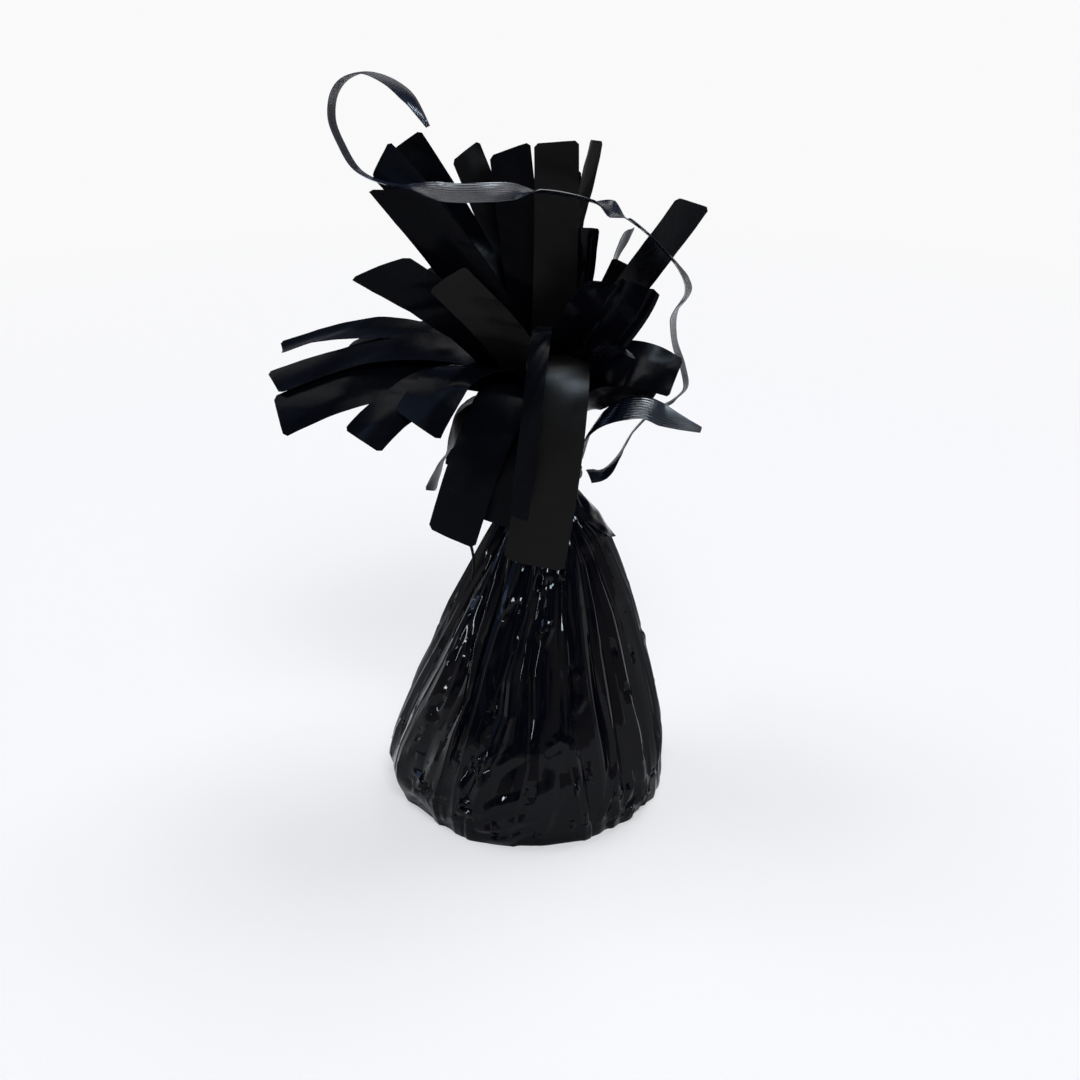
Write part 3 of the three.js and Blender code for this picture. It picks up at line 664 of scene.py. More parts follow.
# Two long folds within each side of a pleat: where they run across it, how they drift, where they start and
# end up the wrap, and how far they stand out as a share of the pleat's width
SIDE_FOLD_SHARES = (0.33, 0.67)
SIDE_FOLD_SHIFT = (-0.09, 0.09)
SIDE_FOLD_DRIFT = (-0.16, 0.16)
SIDE_FOLD_STARTS = (-15, 30)
SIDE_FOLD_ENDS = (40, 85)
SIDE_FOLD_RUN_IN = 12
SIDE_FOLD_RUN_OUT = 14
SIDE_FOLD_LIFTS = (0.35, 1.0)
SIDE_FOLD_STEEPNESS = 0.05

# The numbers of the ridges whose crests are pressed to catch the light, and how the press falls away
PRESSED = (1, 2)
PRESS_SLOPES = (0.14, 0.2, 0.26, 0.32)

# Folds across the panels of the front: a path of (degrees, height), how far they stand out, and their width
FRONT_CREASES = [
    ([(243, 3.5), (245.9, 6.6), (249.3, 12.8), (256.7, 18.9), (269.1, 23.5)], 0.75, 2.2),
    ([(239, 6), (242, 12), (248, 18.5), (258, 23.5)], 0.6, 1.7),
    ([(248, 3), (258.9, 4.6), (273.8, 8.1)], 0.65, 1.9),
    ([(252, 1), (262, 1.8), (274.3, 5.4)], 0.5, 1.3),
    ([(248, 7), (257, 10), (270, 13)], 0.45, 1.7),
    ([(212, 4), (222, 11), (226, 20)], 0.6, 1.8),
    ([(205, 12), (212, 18), (215, 26)], 0.55, 1.8),
    ([(228, 2), (238, 5), (246, 11)], 0.5, 1.6),
    ([(276, 22), (283, 24), (287, 23), (289, 19)], 0.3, 1.6),
    ([(276, 2), (280, 9), (279, 18)], 0.5, 1.8),
    ([(300, 3), (306, 9), (310, 17)], 0.6, 1.8),
    ([(304, 2), (315, 6), (322, 13)], 0.5, 1.8),
    ([(316, 2), (326, 5), (335, 10)], 0.55, 1.7),
    ([(290, 28), (296, 32), (295, 37), (291, 36)], 0.28, 1.3),
    ([(268, 44), (271, 47.5), (276, 47), (272, 43)], 0.4, 1.0),
    ([(189, 14), (195, 30), (201, 45), (208, 60)], 0.5, 1.6),
    ([(208, 12), (210, 24), (214, 36), (216, 47), (219, 60)], 0.45, 1.4),
    ([(216, 12), (220, 28), (221, 40), (220.5, 50), (221, 60)], 0.5, 1.4),
    ([(235, 14), (236.5, 27), (235.5, 38), (236, 50), (234, 60)], 0.4, 1.4),
]
CREASE_FADE = 0.22
# Crushed patches: (degrees, height), half extents in degrees and mm, and how many folds
CRUMPLES = [
    ((219, 6.5), (9, 4.5), 12),
    ((320, 3.5), (14, 3), 15),
    ((274, 56), (12, 4), 4),
    ((246, 56), (12, 5), 3),
    ((60, 6), (18, 5), 7),
    ((140, 5), (20, 5), 7),
]
CRUMPLE_REACHES = (1.5, 3.2)
CRUMPLE_LIFTS = (0.25, 0.5)
CRUMPLE_WIDTHS = (0.7, 1.4)
CRUMPLE_RADIUS = 29
CRUMPLE_CROWDING = 0.6
# Straight folds up the wrap: their ends, drift to the side in degrees, how far they stand out, and width
LONG_FOLDS = dict(count=30, bottoms=(2, 34), tops=(40, 72), drift=7, lifts=(0.14, 0.42), widths=(1.6, 2.8))
FOOT_FOLDS = dict(count=24, bottoms=(-3, 4), tops=(14, 32), drift=6, lifts=(0.2, 0.4), widths=(2.4, 3.6))

# What the outline adds to the plain radius on the left and on the right, as (height, mm)
LEFT_REACH = [
    (0, -0.5), (2.3, -0.6), (6.9, 0.7), (12.9, 0), (22.4, -0.6), (32.4, -0.3), (48, -0.15), (60, 0), (79, 0),
]
RIGHT_REACH = [
    (0, 0.3), (7, -0.7), (13.6, 0), (23.4, 0.2), (33.5, 0.7), (48.6, 1.2), (57, 0.9), (60.7, 0.9),
    (62.5, 1.1), (65.2, 0.6), (67.7, 0.1), (70.7, -0.5), (73.5, -0.8), (79, -0.4),
]
# Where the left and the right are, in degrees, and how far round they reach
LEFT_SIDE = (172, 70)
RIGHT_SIDE = (8, 75)
# The foot bears on the floor at a few corners: (degrees, mm)
FOOT_REACH = [
    (0, 0.2), (150, 0.3), (195, -0.4), (213, -1.2), (224, -1.0), (235, -0.4), (246, 0.9), (257, 0.8),
    (270, 0.5), (284, 0.4), (294, 0.9), (306, -0.3), (318, 0), (327, -0.8), (340, 0.2), (360, 0.2),
]
FOOT_HEIGHT = 6

# The underside: rings at shares of the foot's radius, gathered between the rim and the middle
UNDERSIDE_SHARES = (0.04, 0.2, 0.4, 0.6, 0.78, 0.9, 0.97)
UNDERSIDE_HEIGHT = 0.02
UNDERSIDE_GATHERS = 23
UNDERSIDE_GATHER_HEIGHT = 0.18


def outline_radius(height):
    """The wrap's radius at a height, on a smooth curve through the outline's points."""
    z = np.array([p[0] for p in OUTLINE], float)
    r = np.array([p[1] for p in OUTLINE], float)
    slope = np.gradient(r, z)
    slope[0] = FOOT_SLOPE
    height = np.asarray(height, float)
    i = np.clip(np.searchsorted(z, height, side="right") - 1, 0, len(z) - 2)
    span = z[i + 1] - z[i]
    t = np.clip((height - z[i]) / span, 0, 1)
    curve = (
        (2 * t**3 - 3 * t**2 + 1) * r[i]
        + (t**3 - 2 * t**2 + t) * span * slope[i]
        + (3 * t**2 - 2 * t**3) * r[i + 1]
        + (t**3 - t**2) * span * slope[i + 1]
    )
    return np.where(height > NECK_HEIGHT, r[-1], curve)


def wrap_grid(angle, height, radius):
    """Points round the wrap, whose middle moves to the right with height, from angles in degrees."""
    grid = round_points(np.radians(angle), radius, height)
    grid[..., 0] += NECK_LEAN * smoothstep(height, 0, NECK_HEIGHT)
    return grid


def crease(angle, height, path, lift, width):
    """A fold along a path of (degrees, height). It stands out by lift and dies away at its ends and sides."""
    radius = outline_radius(height)
    best = np.full(angle.shape, np.inf)
    place = np.zeros(angle.shape)
    parts = len(path) - 1
    for part, ((a0, h0), (a1, h1)) in enumerate(zip(path[:-1], path[1:])):
        ax = np.radians((a0 - angle + 180) % 360 - 180) * radius
        bx = np.radians((a1 - angle + 180) % 360 - 180) * radius
        ay, by = h0 - height, h1 - height
        dx, dy = bx - ax, by - ay
        t = np.clip(-(ax * dx + ay * dy) / (dx * dx + dy * dy), 0, 1)
        away = np.hypot(ax + t * dx, ay + t * dy)
        place = np.where(away < best, (part + t) / parts, place)
        best = np.minimum(best, away)
    fade = np.clip(np.minimum(place, 1 - place) / CREASE_FADE, 0, 1)
    return lift * fade * np.clip(1 - best / width, 0, None)


def crumple(angle, height, centre, extent, folds, rng):
    """Small crushed facets within an oval patch: short folds that cross one another."""
    total = np.zeros_like(height)
    for _ in range(folds):
        bearing = rng.uniform(0, 2 * math.pi)
        away = rng.uniform(0, 1) ** CRUMPLE_CROWDING
        a0 = centre[0] + extent[0] * away * math.cos(bearing)
        h0 = centre[1] + extent[1] * away * math.sin(bearing)
        lie = rng.uniform(0, math.pi)
        reach = rng.uniform(*CRUMPLE_REACHES)
        turn = math.degrees(reach * math.cos(lie) / CRUMPLE_RADIUS)
        rise = reach * math.sin(lie)
        path = [(a0 - turn, h0 - rise), (a0 + turn, h0 + rise)]
        lift = rng.uniform(*CRUMPLE_LIFTS) * rng.choice([-1, 1])
        total = total + crease(angle, height, path, lift, rng.uniform(*CRUMPLE_WIDTHS))
    return total


def straight_folds(angle, height, rng, count, bottoms, tops, drift, lifts, widths):
    """Straight folds that run more or less up the wrap, some outward and some inward."""
    total = np.zeros_like(height)
    for _ in range(count):
        bottom = rng.uniform(*bottoms)
        top = rng.uniform(*tops)
        a0 = rng.uniform(0, 360)
        a1 = a0 + rng.uniform(-drift, drift)
        lift = rng.uniform(*lifts) * rng.choice([-1, 1])
        bow = rng.uniform(-1, 1)
        path = [(a1, bottom), ((a0 + a1) / 2 + bow, (top + bottom) / 2), (a0, top)]
        total = total + crease(angle, height, path, lift, rng.uniform(*widths))
    return total


def lobe(angle, centre, half_width):
    away = np.abs((angle - centre + 180) % 360 - 180)
    return 1 - smoothstep(away, 0, half_width)


def right_reach(angle, height):
    return table_value(height, RIGHT_REACH) * lobe(angle, *RIGHT_SIDE)


def outline_reach(angle, height):
    """What the body's uneven outline adds to its plain radius."""
    left = table_value(height, LEFT_REACH) * lobe(angle, *LEFT_SIDE)
    foot = table_value(angle % 360, FOOT_REACH) * (1 - smoothstep(height, 0, FOOT_HEIGHT))
    return left + right_reach(angle, height) + foot


def slack_at(angle):
    return 1 - TIGHT_SHARE * lobe(angle, TIGHT_MIDDLE, TIGHT_HALF_WIDTH)


def side_folds(rows, gap, rng):
    """The long folds within one side of a pleat: where they run across it, and how far they stand out."""
    shares, offs = [], []
    for middle in SIDE_FOLD_SHARES:
        drift = rng.uniform(*SIDE_FOLD_DRIFT) * (rows / NECK_HEIGHT - 0.5)
        shares.append(middle + rng.uniform(*SIDE_FOLD_SHIFT) + drift)
        low = rng.uniform(*SIDE_FOLD_STARTS)
        high = rng.uniform(*SIDE_FOLD_ENDS)
        window = smoothstep(rows, low, low + SIDE_FOLD_RUN_IN)
        window = window * (1 - smoothstep(rows, high - SIDE_FOLD_RUN_OUT, high))
        lift = rng.uniform(*SIDE_FOLD_LIFTS) * rng.choice([-1, 1]) * SIDE_FOLD_STEEPNESS
        offs.append(lift * gap * window)
    return shares, offs


def side_columns(start, end, high, low, shares, offs):
    """The columns of one side of a pleat, with folds at the given shares, without its last column."""
    at = [np.zeros_like(start), *shares, np.ones_like(start)]
    off = [np.zeros_like(start), *offs, np.zeros_like(start)]
    columns = []
    for k in range(len(at) - 1):
        for step in range(COLUMNS_PER_FOLD):
            part = step / COLUMNS_PER_FOLD
            t = lerp(at[k], at[k + 1], part)
            columns.append((lerp(start, end, t), lerp(high, low, t) + lerp(off[k], off[k + 1], part)))
    return columns


def pressed_crest(columns, radius):
    """Presses a crest on the side that faces the front."""
    (ridge, top), (first, _) = columns[0], columns[1]
    step = np.radians(first - ridge) * radius / len(PRESS_SLOPES)
    fall = 0
    pressed = []
    for number, slope in enumerate(PRESS_SLOPES):
        fall = fall + slope * step
        pressed.append((lerp(ridge, first, (number + 1) / len(PRESS_SLOPES)), top - fall))
    return [columns[0], *pressed, *columns[2:]]


def ridge_lines(rows):
    """The angle of each ridge at each row, and how far each ridge stands out."""
    angles, lifts = [], []
    for lift, path in FRONT_RIDGES:
        angles.append(table_value(rows, path[::-1]))
        lifts.append(lift)
    first, last = angles[0], angles[-1]
    for k in range(BACK_RIDGES):
        share = (k + 1 + BACK_SPREAD * math.sin(BACK_PACES[0] * k)) / (BACK_RIDGES + 1)
        angles.append(lerp(last, first + 360, share) + BACK_WANDER * np.sin(rows / BACK_WANDER_HEIGHT + k))
        lifts.append(BACK_LIFT + BACK_LIFT_SPREAD * math.sin(BACK_PACES[1] * k))
    ridges = np.array(angles)
    neck_angle = ridges[0, -1]
    even = np.linspace(neck_angle, neck_angle + 360, len(ridges), endpoint=False)[:, None]
    gathered = smoothstep(rows, GATHER_START, NECK_HEIGHT)[None, :] * GATHER_SHARE
    return lerp(ridges, even, gathered), lifts


def panel_sections(rows, rng):
    """The angle of each column of the wrap and what it adds to the radius, ridge to ridge, for each row."""
    ridges, lifts = ridge_lines(rows)
    following = np.vstack([ridges[1:], ridges[:1] + 360])
    count = len(ridges)
    fullness = lerp(FOOT_FULLNESS, 1.0, smoothstep(rows, *FILLING))
    fullness = fullness * lerp(1.0, NECK_FULLNESS, smoothstep(rows, *FLATTENING))
    gaps = np.radians(following - ridges) * outline_radius(rows)
    near = np.minimum(gaps, np.roll(gaps, 1, axis=0))
    tops = []
    for k in range(count):
        uneven = 1 + CREST_UNEVENNESS * wave_noise(rows / CREST_WAVE, rng, 2)
        most = np.minimum(1.0, CREST_SHARE * near[k])
        tops.append(lifts[k] * slack_at(ridges[k]) * most * uneven * fullness)
    angles, pushes = [], []
    for k in range(count):
        here, there = ridges[k], following[k]
        wander = VALLEY_WANDER * wave_noise(rows / VALLEY_WAVE + k, rng, 2)
        valley = lerp(here, there, VALLEY_SHARES[k % len(VALLEY_SHARES)] + wander)
        depth = np.minimum(rng.uniform(*VALLEY_DEPTH), VALLEY_DEPTH_SHARE * gaps[k])
        depth = depth * fullness * slack_at(here)
        falling = side_columns(here, valley, tops[k], -depth, *side_folds(rows, gaps[k], rng))
        if k in PRESSED:
            falling = pressed_crest(falling, outline_radius(rows))
        rising = side_columns(valley, there, -depth, tops[(k + 1) % count], *side_folds(rows, gaps[k], rng))
        for angle, push in falling + rising:
            angles.append(angle)
            pushes.append(push)
    return np.array(angles).T, np.array(pushes).T


def underside(rim, angle):
    """Rings of points under the wrap, from near the middle to its rim."""
    rings = []
    for share in UNDERSIDE_SHARES:
        ring = rim * (share, share, 1)
        gathers = 1 + np.sin(np.radians(angle) * UNDERSIDE_GATHERS + 3 * share)
        ring[:, 2] = UNDERSIDE_HEIGHT + UNDERSIDE_GATHER_HEIGHT * gathers * share * (1 - share)
        rings.append(ring)
    return np.array(rings)


def build_wrap():
    """The film wrap: flat panels between ridges and valleys that run from the foot to the neck."""
    rng = np.random.default_rng(WRAP_SEED)
    bands = [np.linspace(low, high, count, endpoint=False) for low, high, count in WRAP_ROWS]
    rows = np.concatenate([*bands, [NECK_TOP]])
    angle, push = panel_sections(rows, rng)
    height = np.repeat(rows[:, None], angle.shape[1], axis=1)
    for path, lift, width in FRONT_CREASES:
        push = push + crease(angle, height, path, lift, width)
    for folds in (LONG_FOLDS, FOOT_FOLDS):
        push = push + straight_folds(angle, height, rng, **folds)
    for centre, extent, folds in CRUMPLES:
        push = push + crumple(angle, height, centre, extent, folds, rng)
    push = push + outline_reach(angle, height)

    grid = wrap_grid(angle, height, outline_radius(height) + push)
    outer = np.concatenate([underside(grid[0], angle[0]), grid])
    ring_count, columns = outer.shape[:2]
    across = np.roll(outer, -1, axis=1) - np.roll(outer, 1, axis=1)
    inward = -unit(np.cross(across, np.gradient(outer, axis=0)))
    inner = outer + inward * WRAP_THICKNESS
    middles = [(0, 0, UNDERSIDE_HEIGHT), (0, 0, UNDERSIDE_HEIGHT + WRAP_THICKNESS)]
    points = np.vstack([outer.reshape(-1, 3), inner.reshape(-1, 3), middles])
    count = ring_count * columns
    faces = grid_faces(ring_count, columns, closed=True)
    faces += flipped(faces, count)
    top = (ring_count - 1) * columns
    for j in range(columns):
        k = (j + 1) % columns
        faces.append((top + j, top + k, count + top + k, count + top + j))
        faces.append((2 * count, k, j))
        faces.append((2 * count + 1, count + j, count + k))
    mesh_object("wrap_film", points, faces, wrap_film, "foil", "foil_wrap", sharp=WRAP_SHARP)


build_wrap()


# The shoulder flap

# The flap on the wrap, as (degrees, height, how far it stands off), from the neck to its free corner
FLAP_ROWS = [
    [(300, 70.6, 0.2), (318, 71.6, 0.3), (338, 72.0, 0.3), (358, 72.0, 0.2), (372, 72.0, 0.1)],
    [(306, 69.6, 0.2), (320, 69.6, 0.9), (334, 69.2, 0.2), (352, 68.8, 1.0), (370, 68.8, 0.2)],
    [(312, 68.4, 0.2), (324, 67.6, 0.3), (336, 66.6, 1.1), (350, 65.6, 0.3), (368, 65.4, 0.8)],
    [(318, 67.4, 0.2), (328, 66.2, 0.9), (338, 64.6, 0.3), (350, 63.0, 1.1), (366, 62.6, 0.3)],
    [(325, 66.4, 0.1), (333, 64.9, 0.3), (341, 63.0, 0.9), (352, 60.9, 0.9), (362, 60.0, 2.0)],
]
FLAP_SAMPLES = 25
FLAP_GAP = 0.1
FLAP_RELIEF = 0.75


def refined(table):
    """A table of points with more points between them, both ways, and its rows turned into columns."""
    for axis in (1, 0):
        count = table.shape[axis]
        fine = np.linspace(0, count - 1, FLAP_SAMPLES)
        table = np.apply_along_axis(lambda line: np.interp(fine, range(count), line), axis, table)
    return table.swapaxes(0, 1)


def build_flap():
    """A fold of spare film that lies over the pleats on the right, just under the neck."""
    angle, height, off = np.moveaxis(refined(np.array(FLAP_ROWS, float)), -1, 0)
    radius = outline_radius(height) + right_reach(angle, height) + FLAP_GAP + FLAP_RELIEF * off
    film_solid("shoulder_flap", wrap_grid(angle, height, radius), FILM_THICKNESS, wrap_film, "foil")


build_flap()


# Ties at the neck, whose sections are (width, thickness)

TIE_BELOW_TOP = 3.4
TIE_MIDDLE = NECK_LENGTH - TIE_BELOW_TOP
TIE_TURNS = 2.05
TIE_SECTION = (1.3, 0.5)
TIE_CLIMB = 0.35
TIE_SWELL = 0.125
TIE_SAMPLES = 190
TAIL_ANGLE = math.radians(105)
TAIL_TURNS = 1.75
TAIL_TWISTED_SHARE = 0.8
TAIL_START = 0.6
TAIL_LENGTH = 9.6
TAIL_SECTION = (1.2, 0.35)
TAIL_APART = 0.55
TAIL_OPENING = 1.6
TAIL_TILT = 1.2
TAIL_OPENS = 0.78
TAIL_SAMPLES = 90
KNOT_ABOVE_TIE = 1.85
KNOT_MIDDLE = TIE_MIDDLE + KNOT_ABOVE_TIE
KNOT_ANGLE = math.radians(322)
KNOT_START = 1.9
RIBBON_TURNS = 1.02
TURN_SECTION = (1.1, 0.3)
TURN_SAMPLES = 150
# How the tie ripples, and how the ribbon's turns ripple, wander and tilt: how far, and how often in a turn
TIE_RIPPLE = (0.072, 9)
TURN_RIPPLE = (0.1, 7)
TURN_WANDER = (0.15, 3)
TURN_TILT = (0.7, 5)
# Two turns of ribbon: how high above the knot's middle, and how much further out
RIBBON_TURN_PLACES = ((-0.4, 0.0), (0.35, 0.12))
BIGHT_SECTION = (1.7, 0.35)
BIGHT_REACHES = (1.25, 0.95)
BIGHT_TILT = 0.4
BIGHT_SAMPLES = 72
# Two bights: how far each goes to the side, and how far up
BIGHT_SWINGS = ((1.0, 0.25), (0.3, 1.0))
# How far the middle of a turn lies outside the neck
TURN_GAP = 0.55


def ripple(turn, size, phase):
    return size[0] * np.sin(turn * size[1] + phase)


def build_tie():
    """A flat wire tie wound twice round the gathered film, and its twisted tails."""
    wound = np.linspace(0, 2 * math.pi * TIE_TURNS, TIE_SAMPLES)
    turn = wound + TAIL_ANGLE
    swell = TIE_SWELL * wound / (2 * math.pi)
    reach = NECK_OUTER + TURN_GAP + ripple(turn, TIE_RIPPLE, 0) + swell
    path = NECK + round_points(turn, reach, TIE_MIDDLE + TIE_CLIMB * np.sin(wound / 2))
    band_solid("tie_turns", path, UP, *TIE_SECTION, tie_look, "tie", "neck_tie")
    out = round_points(TAIL_ANGLE, 1, 0)
    side = np.array([-out[1], out[0], 0])
    start = NECK + out * (NECK_OUTER + TAIL_START) + UP * TIE_MIDDLE
    u = np.linspace(0, 1, TAIL_SAMPLES)[:, None]
    for number, phase in enumerate((0, math.pi)):
        spin = 2 * math.pi * TAIL_TURNS * np.minimum(u, TAIL_TWISTED_SHARE) / TAIL_TWISTED_SHARE + phase
        apart = TAIL_APART + TAIL_OPENING * smoothstep(u, TAIL_OPENS, 1)
        path = start + out * (TAIL_LENGTH * u) + (side * np.cos(spin) + UP * np.sin(spin)) * apart
        across = side * np.cos(spin + TAIL_TILT) + UP * np.sin(spin + TAIL_TILT)
        nodes = ("tie_tail",) if number == 0 else ()
        band_solid(f"tie_tail_{number + 1}", path, across, *TAIL_SECTION, tie_look, "tie", *nodes)


def build_ribbon_turns():
    """The ribbon gathered into a cord, twice round the neck."""
    turn = np.linspace(0, 2 * math.pi * RIBBON_TURNS, TURN_SAMPLES) + KNOT_ANGLE
    for number, (lift, grow) in enumerate(RIBBON_TURN_PLACES):
        reach = NECK_OUTER + TURN_GAP + grow + ripple(turn, TURN_RIPPLE, number)
        path = NECK + round_points(turn, reach, KNOT_MIDDLE + lift + ripple(turn, TURN_WANDER, number))
        tilt = ripple(turn, TURN_TILT, 2 * number)
        across = UP + round_points(turn, 1, 0 * turn) * tilt[:, None]
        nodes = ("ribbon_collar",) if number == 0 else ()
        band_solid(f"ribbon_turn_{number + 1}", path, across, *TURN_SECTION, ribbon_film, "ribbon", *nodes)


def build_ribbon_knot():
    """The ribbon's knot: two bights pulled over each other."""
    out = round_points(KNOT_ANGLE, 1, 0)
    side = np.array([-out[1], out[0], 0])
    centre = NECK + out * (NECK_OUTER + KNOT_START) + UP * KNOT_MIDDLE
    turn = np.linspace(0, 2 * math.pi, BIGHT_SAMPLES)
    for number, (flat, steep) in enumerate(BIGHT_SWINGS):
        swing = side * flat + UP * steep
        path = centre + swing * (BIGHT_REACHES[0] * np.cos(turn))[:, None]
        path = path + out * (BIGHT_REACHES[1] * np.sin(turn))[:, None]
        across = unit(np.cross(out, unit(swing))) + out * (BIGHT_TILT * np.cos(turn))[:, None]
        nodes = ("ribbon_knot",) if number == 0 else ()
        band_solid(f"ribbon_bight_{number + 1}", path, across, *BIGHT_SECTION, ribbon_film, "ribbon", *nodes)


build_tie()
build_ribbon_turns()
build_ribbon_knot()


# Stage

CAMERA_DISTANCE = 470.0
CAMERA_ELEVATION = math.radians(25)
AIM = np.array([2.8, 0.0, 59.3])
SENSOR_WIDTH = 36
PHOTO_WIDTH_PX = 1080
FOCAL_LENGTH_PX = 2156

# The floor's disc in metres, and plain paper's share of what the camera sees of it, which grows from
# FLOOR_SHARE at FLOOR_LIT from the middle to all of it at FLOOR_PLAIN
FLOOR_RADIUS = 0.6
FLOOR_CORNERS = 96
FLOOR_SHARE = 0.45
FLOOR_LIT = 0.12
FLOOR_PLAIN = 0.45
PAPER = (0.95, 0.95, 0.955)
BACKDROP = (0.95, 0.95, 0.95)

# The room's colour by the sine of the elevation, and how much of it is taken by the bands below
ROOM = [
    (0.0, (0.42, 0.41, 0.42)), (0.07, (0.34, 0.34, 0.36)), (0.16, (0.035, 0.045, 0.085)),
    (0.4, (0.04, 0.05, 0.095)), (0.6, (0.13, 0.17, 0.3)), (0.8, (0.05, 0.06, 0.1)), (1.0, (0.06, 0.07, 0.1)),
]
BANDED = [(0.0, (0, 0, 0)), (0.1, (0, 0, 0)), (0.15, (1, 1, 1)), (0.42, (1, 1, 1)), (0.6, (0, 0, 0))]
SHADE = (0.028, 0.036, 0.07)
WALL = (0.34, 0.33, 0.33)
HAZE = (0.15, 0.18, 0.28)
PANE = (0.26, 0.37, 0.66)
# What stands round the room before the shade: from and to, in degrees from the front, to the left if negative
AROUND = [
    (-90, -77, PANE), (-66, -57, WALL), (-43, -39, WALL), (-29, -20, HAZE), (-8, -5, WALL), (9, 14, HAZE),
    (25, 33, WALL), (41, 46, HAZE), (57, 66, PANE), (74, 84, WALL), (95, 110, WALL), (135, 150, HAZE),
    (185, 205, HAZE), (225, 240, WALL), (255, 265, WALL),
]
# Where the front lies on the round gradient, as a share of a turn
FRONT_SHARE = 0.25

# The point in metres that the lamps are aimed at
LAMP_TARGET = Vector((0, 0, 0.07))
WHITE = (1.0, 1.0, 1.0)
COOL = (0.88, 0.94, 1.0)
BLUE = (0.42, 0.6, 1.0)
# Name, bearing, elevation, distance, width and height, radiance, colour, and whether it lights dull surfaces
LAMPS = [
    ("front", 8, 52, 1.5, (0.6, 0.5), 9.5, WHITE, True),
    ("back", 140, 64, 1.6, (0.9, 0.9), 5.0, WHITE, True),
    ("left", -110, 60, 1.6, (0.8, 0.8), 4.0, WHITE, True),
    ("window", -75, 30, 1.4, (0.5, 0.8), 3.2, BLUE, False),
    ("right_window", 72, 38, 1.4, (0.4, 0.6), 1.6, BLUE, False),
    ("strip", -56, 15, 1.2, (0.035, 0.55), 62.0, COOL, False),
    ("right_strip", 50, 20, 1.2, (0.02, 0.35), 45.0, COOL, False),
    ("sheen", 18, 30, 1.3, (0.34, 0.26), 48.0, (0.72, 0.87, 1.0), False),
]


def aim(item, back):
    """Turns a camera or lamp so that its back points along a direction."""
    item.rotation_mode = "QUATERNION"
    item.rotation_quaternion = back.to_track_quat("Z", "Y")


def build_camera():
    data = bpy.data.cameras.new("camera")
    data.sensor_width = SENSOR_WIDTH
    data.lens = SENSOR_WIDTH * FOCAL_LENGTH_PX / PHOTO_WIDTH_PX
    camera = bpy.data.objects.new("camera", data)
    bpy.context.scene.collection.objects.link(camera)
    back = np.array([0, -math.cos(CAMERA_ELEVATION), math.sin(CAMERA_ELEVATION)])
    camera.location = Vector((AIM + back * CAMERA_DISTANCE) * MM)
    aim(camera, Vector(back))
    bpy.context.scene.camera = camera


def floor_material():
    """Pale paper that takes the shadow near the part. Further out it is plain, whatever the lamps reach."""
    material, tree, shader = new_material("floor")
    speckle = noise(tree, scale=3, detail=2)
    fill(tree, shader, {
        "Base Color": mixed_colour(tree, speckle, (0.925, 0.925, 0.93), (0.94, 0.94, 0.945)),
        "Roughness": 0.9,
        "Specular IOR Level": 0.1,
    })
    place = add_node(tree, "TexCoord").outputs["Object"]
    away = add_node(tree, "VectorMath", {0: place}, operation="LENGTH").outputs["Value"]
    far = ranged(tree, away, FLOOR_SHARE, 1, FLOOR_LIT, FLOOR_PLAIN)
    share = maths(tree, "MULTIPLY", far, add_node(tree, "LightPath").outputs["Is Camera Ray"])
    plain = add_node(tree, "Emission", {"Color": opaque(PAPER)}).outputs[0]
    mix = add_node(tree, "MixShader", {0: share, 1: shader.outputs[0], 2: plain})
    fill(tree, tree.nodes["Material Output"], {"Surface": mix.outputs[0]})
    return material


def build_floor():
    turns = np.linspace(0, 2 * math.pi, FLOOR_CORNERS, endpoint=False)
    rim = round_points(turns, FLOOR_RADIUS, 0 * turns)
    mesh = bpy.data.meshes.new("floor")
    mesh.from_pydata(rim.tolist(), [], [tuple(range(len(rim)))])
    mesh.materials.append(floor_material())
    floor = bpy.data.objects.new("floor", mesh)
    bpy.context.scene.collection.objects.link(floor)


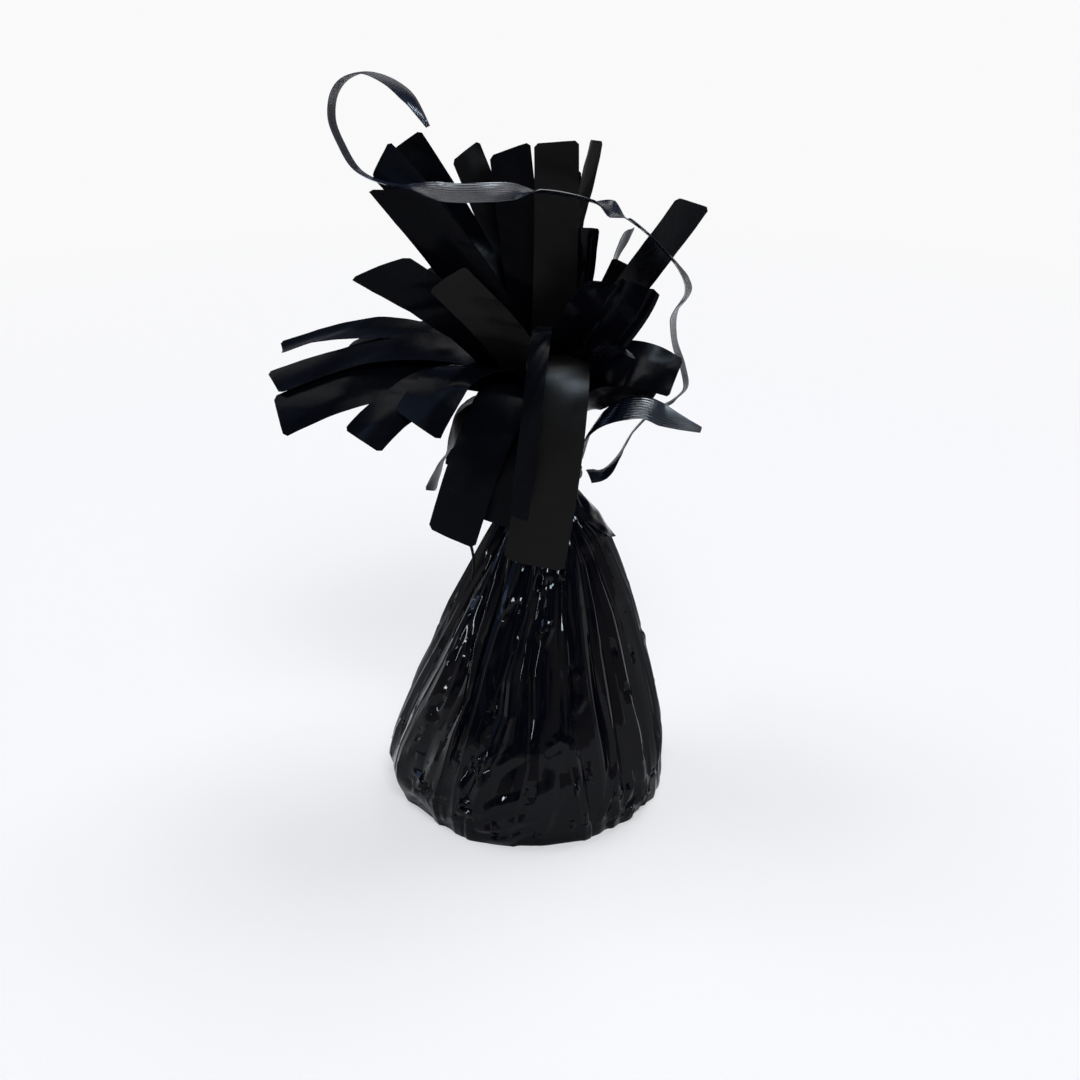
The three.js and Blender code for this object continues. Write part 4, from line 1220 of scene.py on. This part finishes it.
def colour_ramp(tree, source, stops, interpolation="LINEAR"):
    """A ramp through (position, colour) stops in rising order."""
    node = add_node(tree, "ValToRGB", {"Fac": source})
    ramp = node.color_ramp
    ramp.interpolation = interpolation
    for position, _ in stops[1:-1]:
        ramp.elements.new(position)
    for element, (position, colour) in zip(ramp.elements, stops):
        element.position = position
        element.color = opaque(colour)
    return node.outputs["Color"]


def build_world():
    """A dim room with bands of light and shade round it, and a plain pale backdrop for the camera."""
    world = bpy.data.worlds.new("room")
    bpy.context.scene.world = world
    world.use_nodes = True
    tree = world.node_tree
    place = add_node(tree, "TexCoord").outputs["Generated"]
    height = add_node(tree, "SeparateXYZ", {"Vector": place}).outputs["Z"]
    bearing = add_node(tree, "TexGradient", {"Vector": place}, gradient_type="RADIAL").outputs["Fac"]
    bands = []
    for first, last, colour in AROUND:
        bands += [(FRONT_SHARE + first / 360, colour), (FRONT_SHARE + last / 360, SHADE)]
    around = colour_ramp(tree, bearing, bands, "CONSTANT")
    banded = colour_ramp(tree, height, BANDED)
    room = mixed_colour(tree, banded, colour_ramp(tree, height, ROOM), around)
    seen = add_node(tree, "LightPath").outputs["Is Camera Ray"]
    fill(tree, tree.nodes["Background"], {"Color": mixed_colour(tree, seen, room, BACKDROP)})


def area_light(name, azimuth, elevation, distance, size, radiance, colour, diffuse):
    """A softbox aimed at the part, placed by its bearing from the front, to the left if negative."""
    data = bpy.data.lights.new(name, "AREA")
    data.shape = "RECTANGLE"
    data.size, data.size_y = size
    data.energy = radiance * math.pi * size[0] * size[1]
    data.color = colour
    lamp = bpy.data.objects.new(name, data)
    bpy.context.scene.collection.objects.link(lamp)
    a, e = math.radians(azimuth), math.radians(elevation)
    away = Vector((math.sin(a) * math.cos(e), -math.cos(a) * math.cos(e), math.sin(e)))
    lamp.location = away * distance + LAMP_TARGET
    aim(lamp, away)
    lamp.visible_camera = False
    lamp.visible_diffuse = diffuse


build_camera()
build_floor()
build_world()
for lamp in LAMPS:
    area_light(*lamp)

bpy.context.scene.view_settings.view_transform = "Standard"
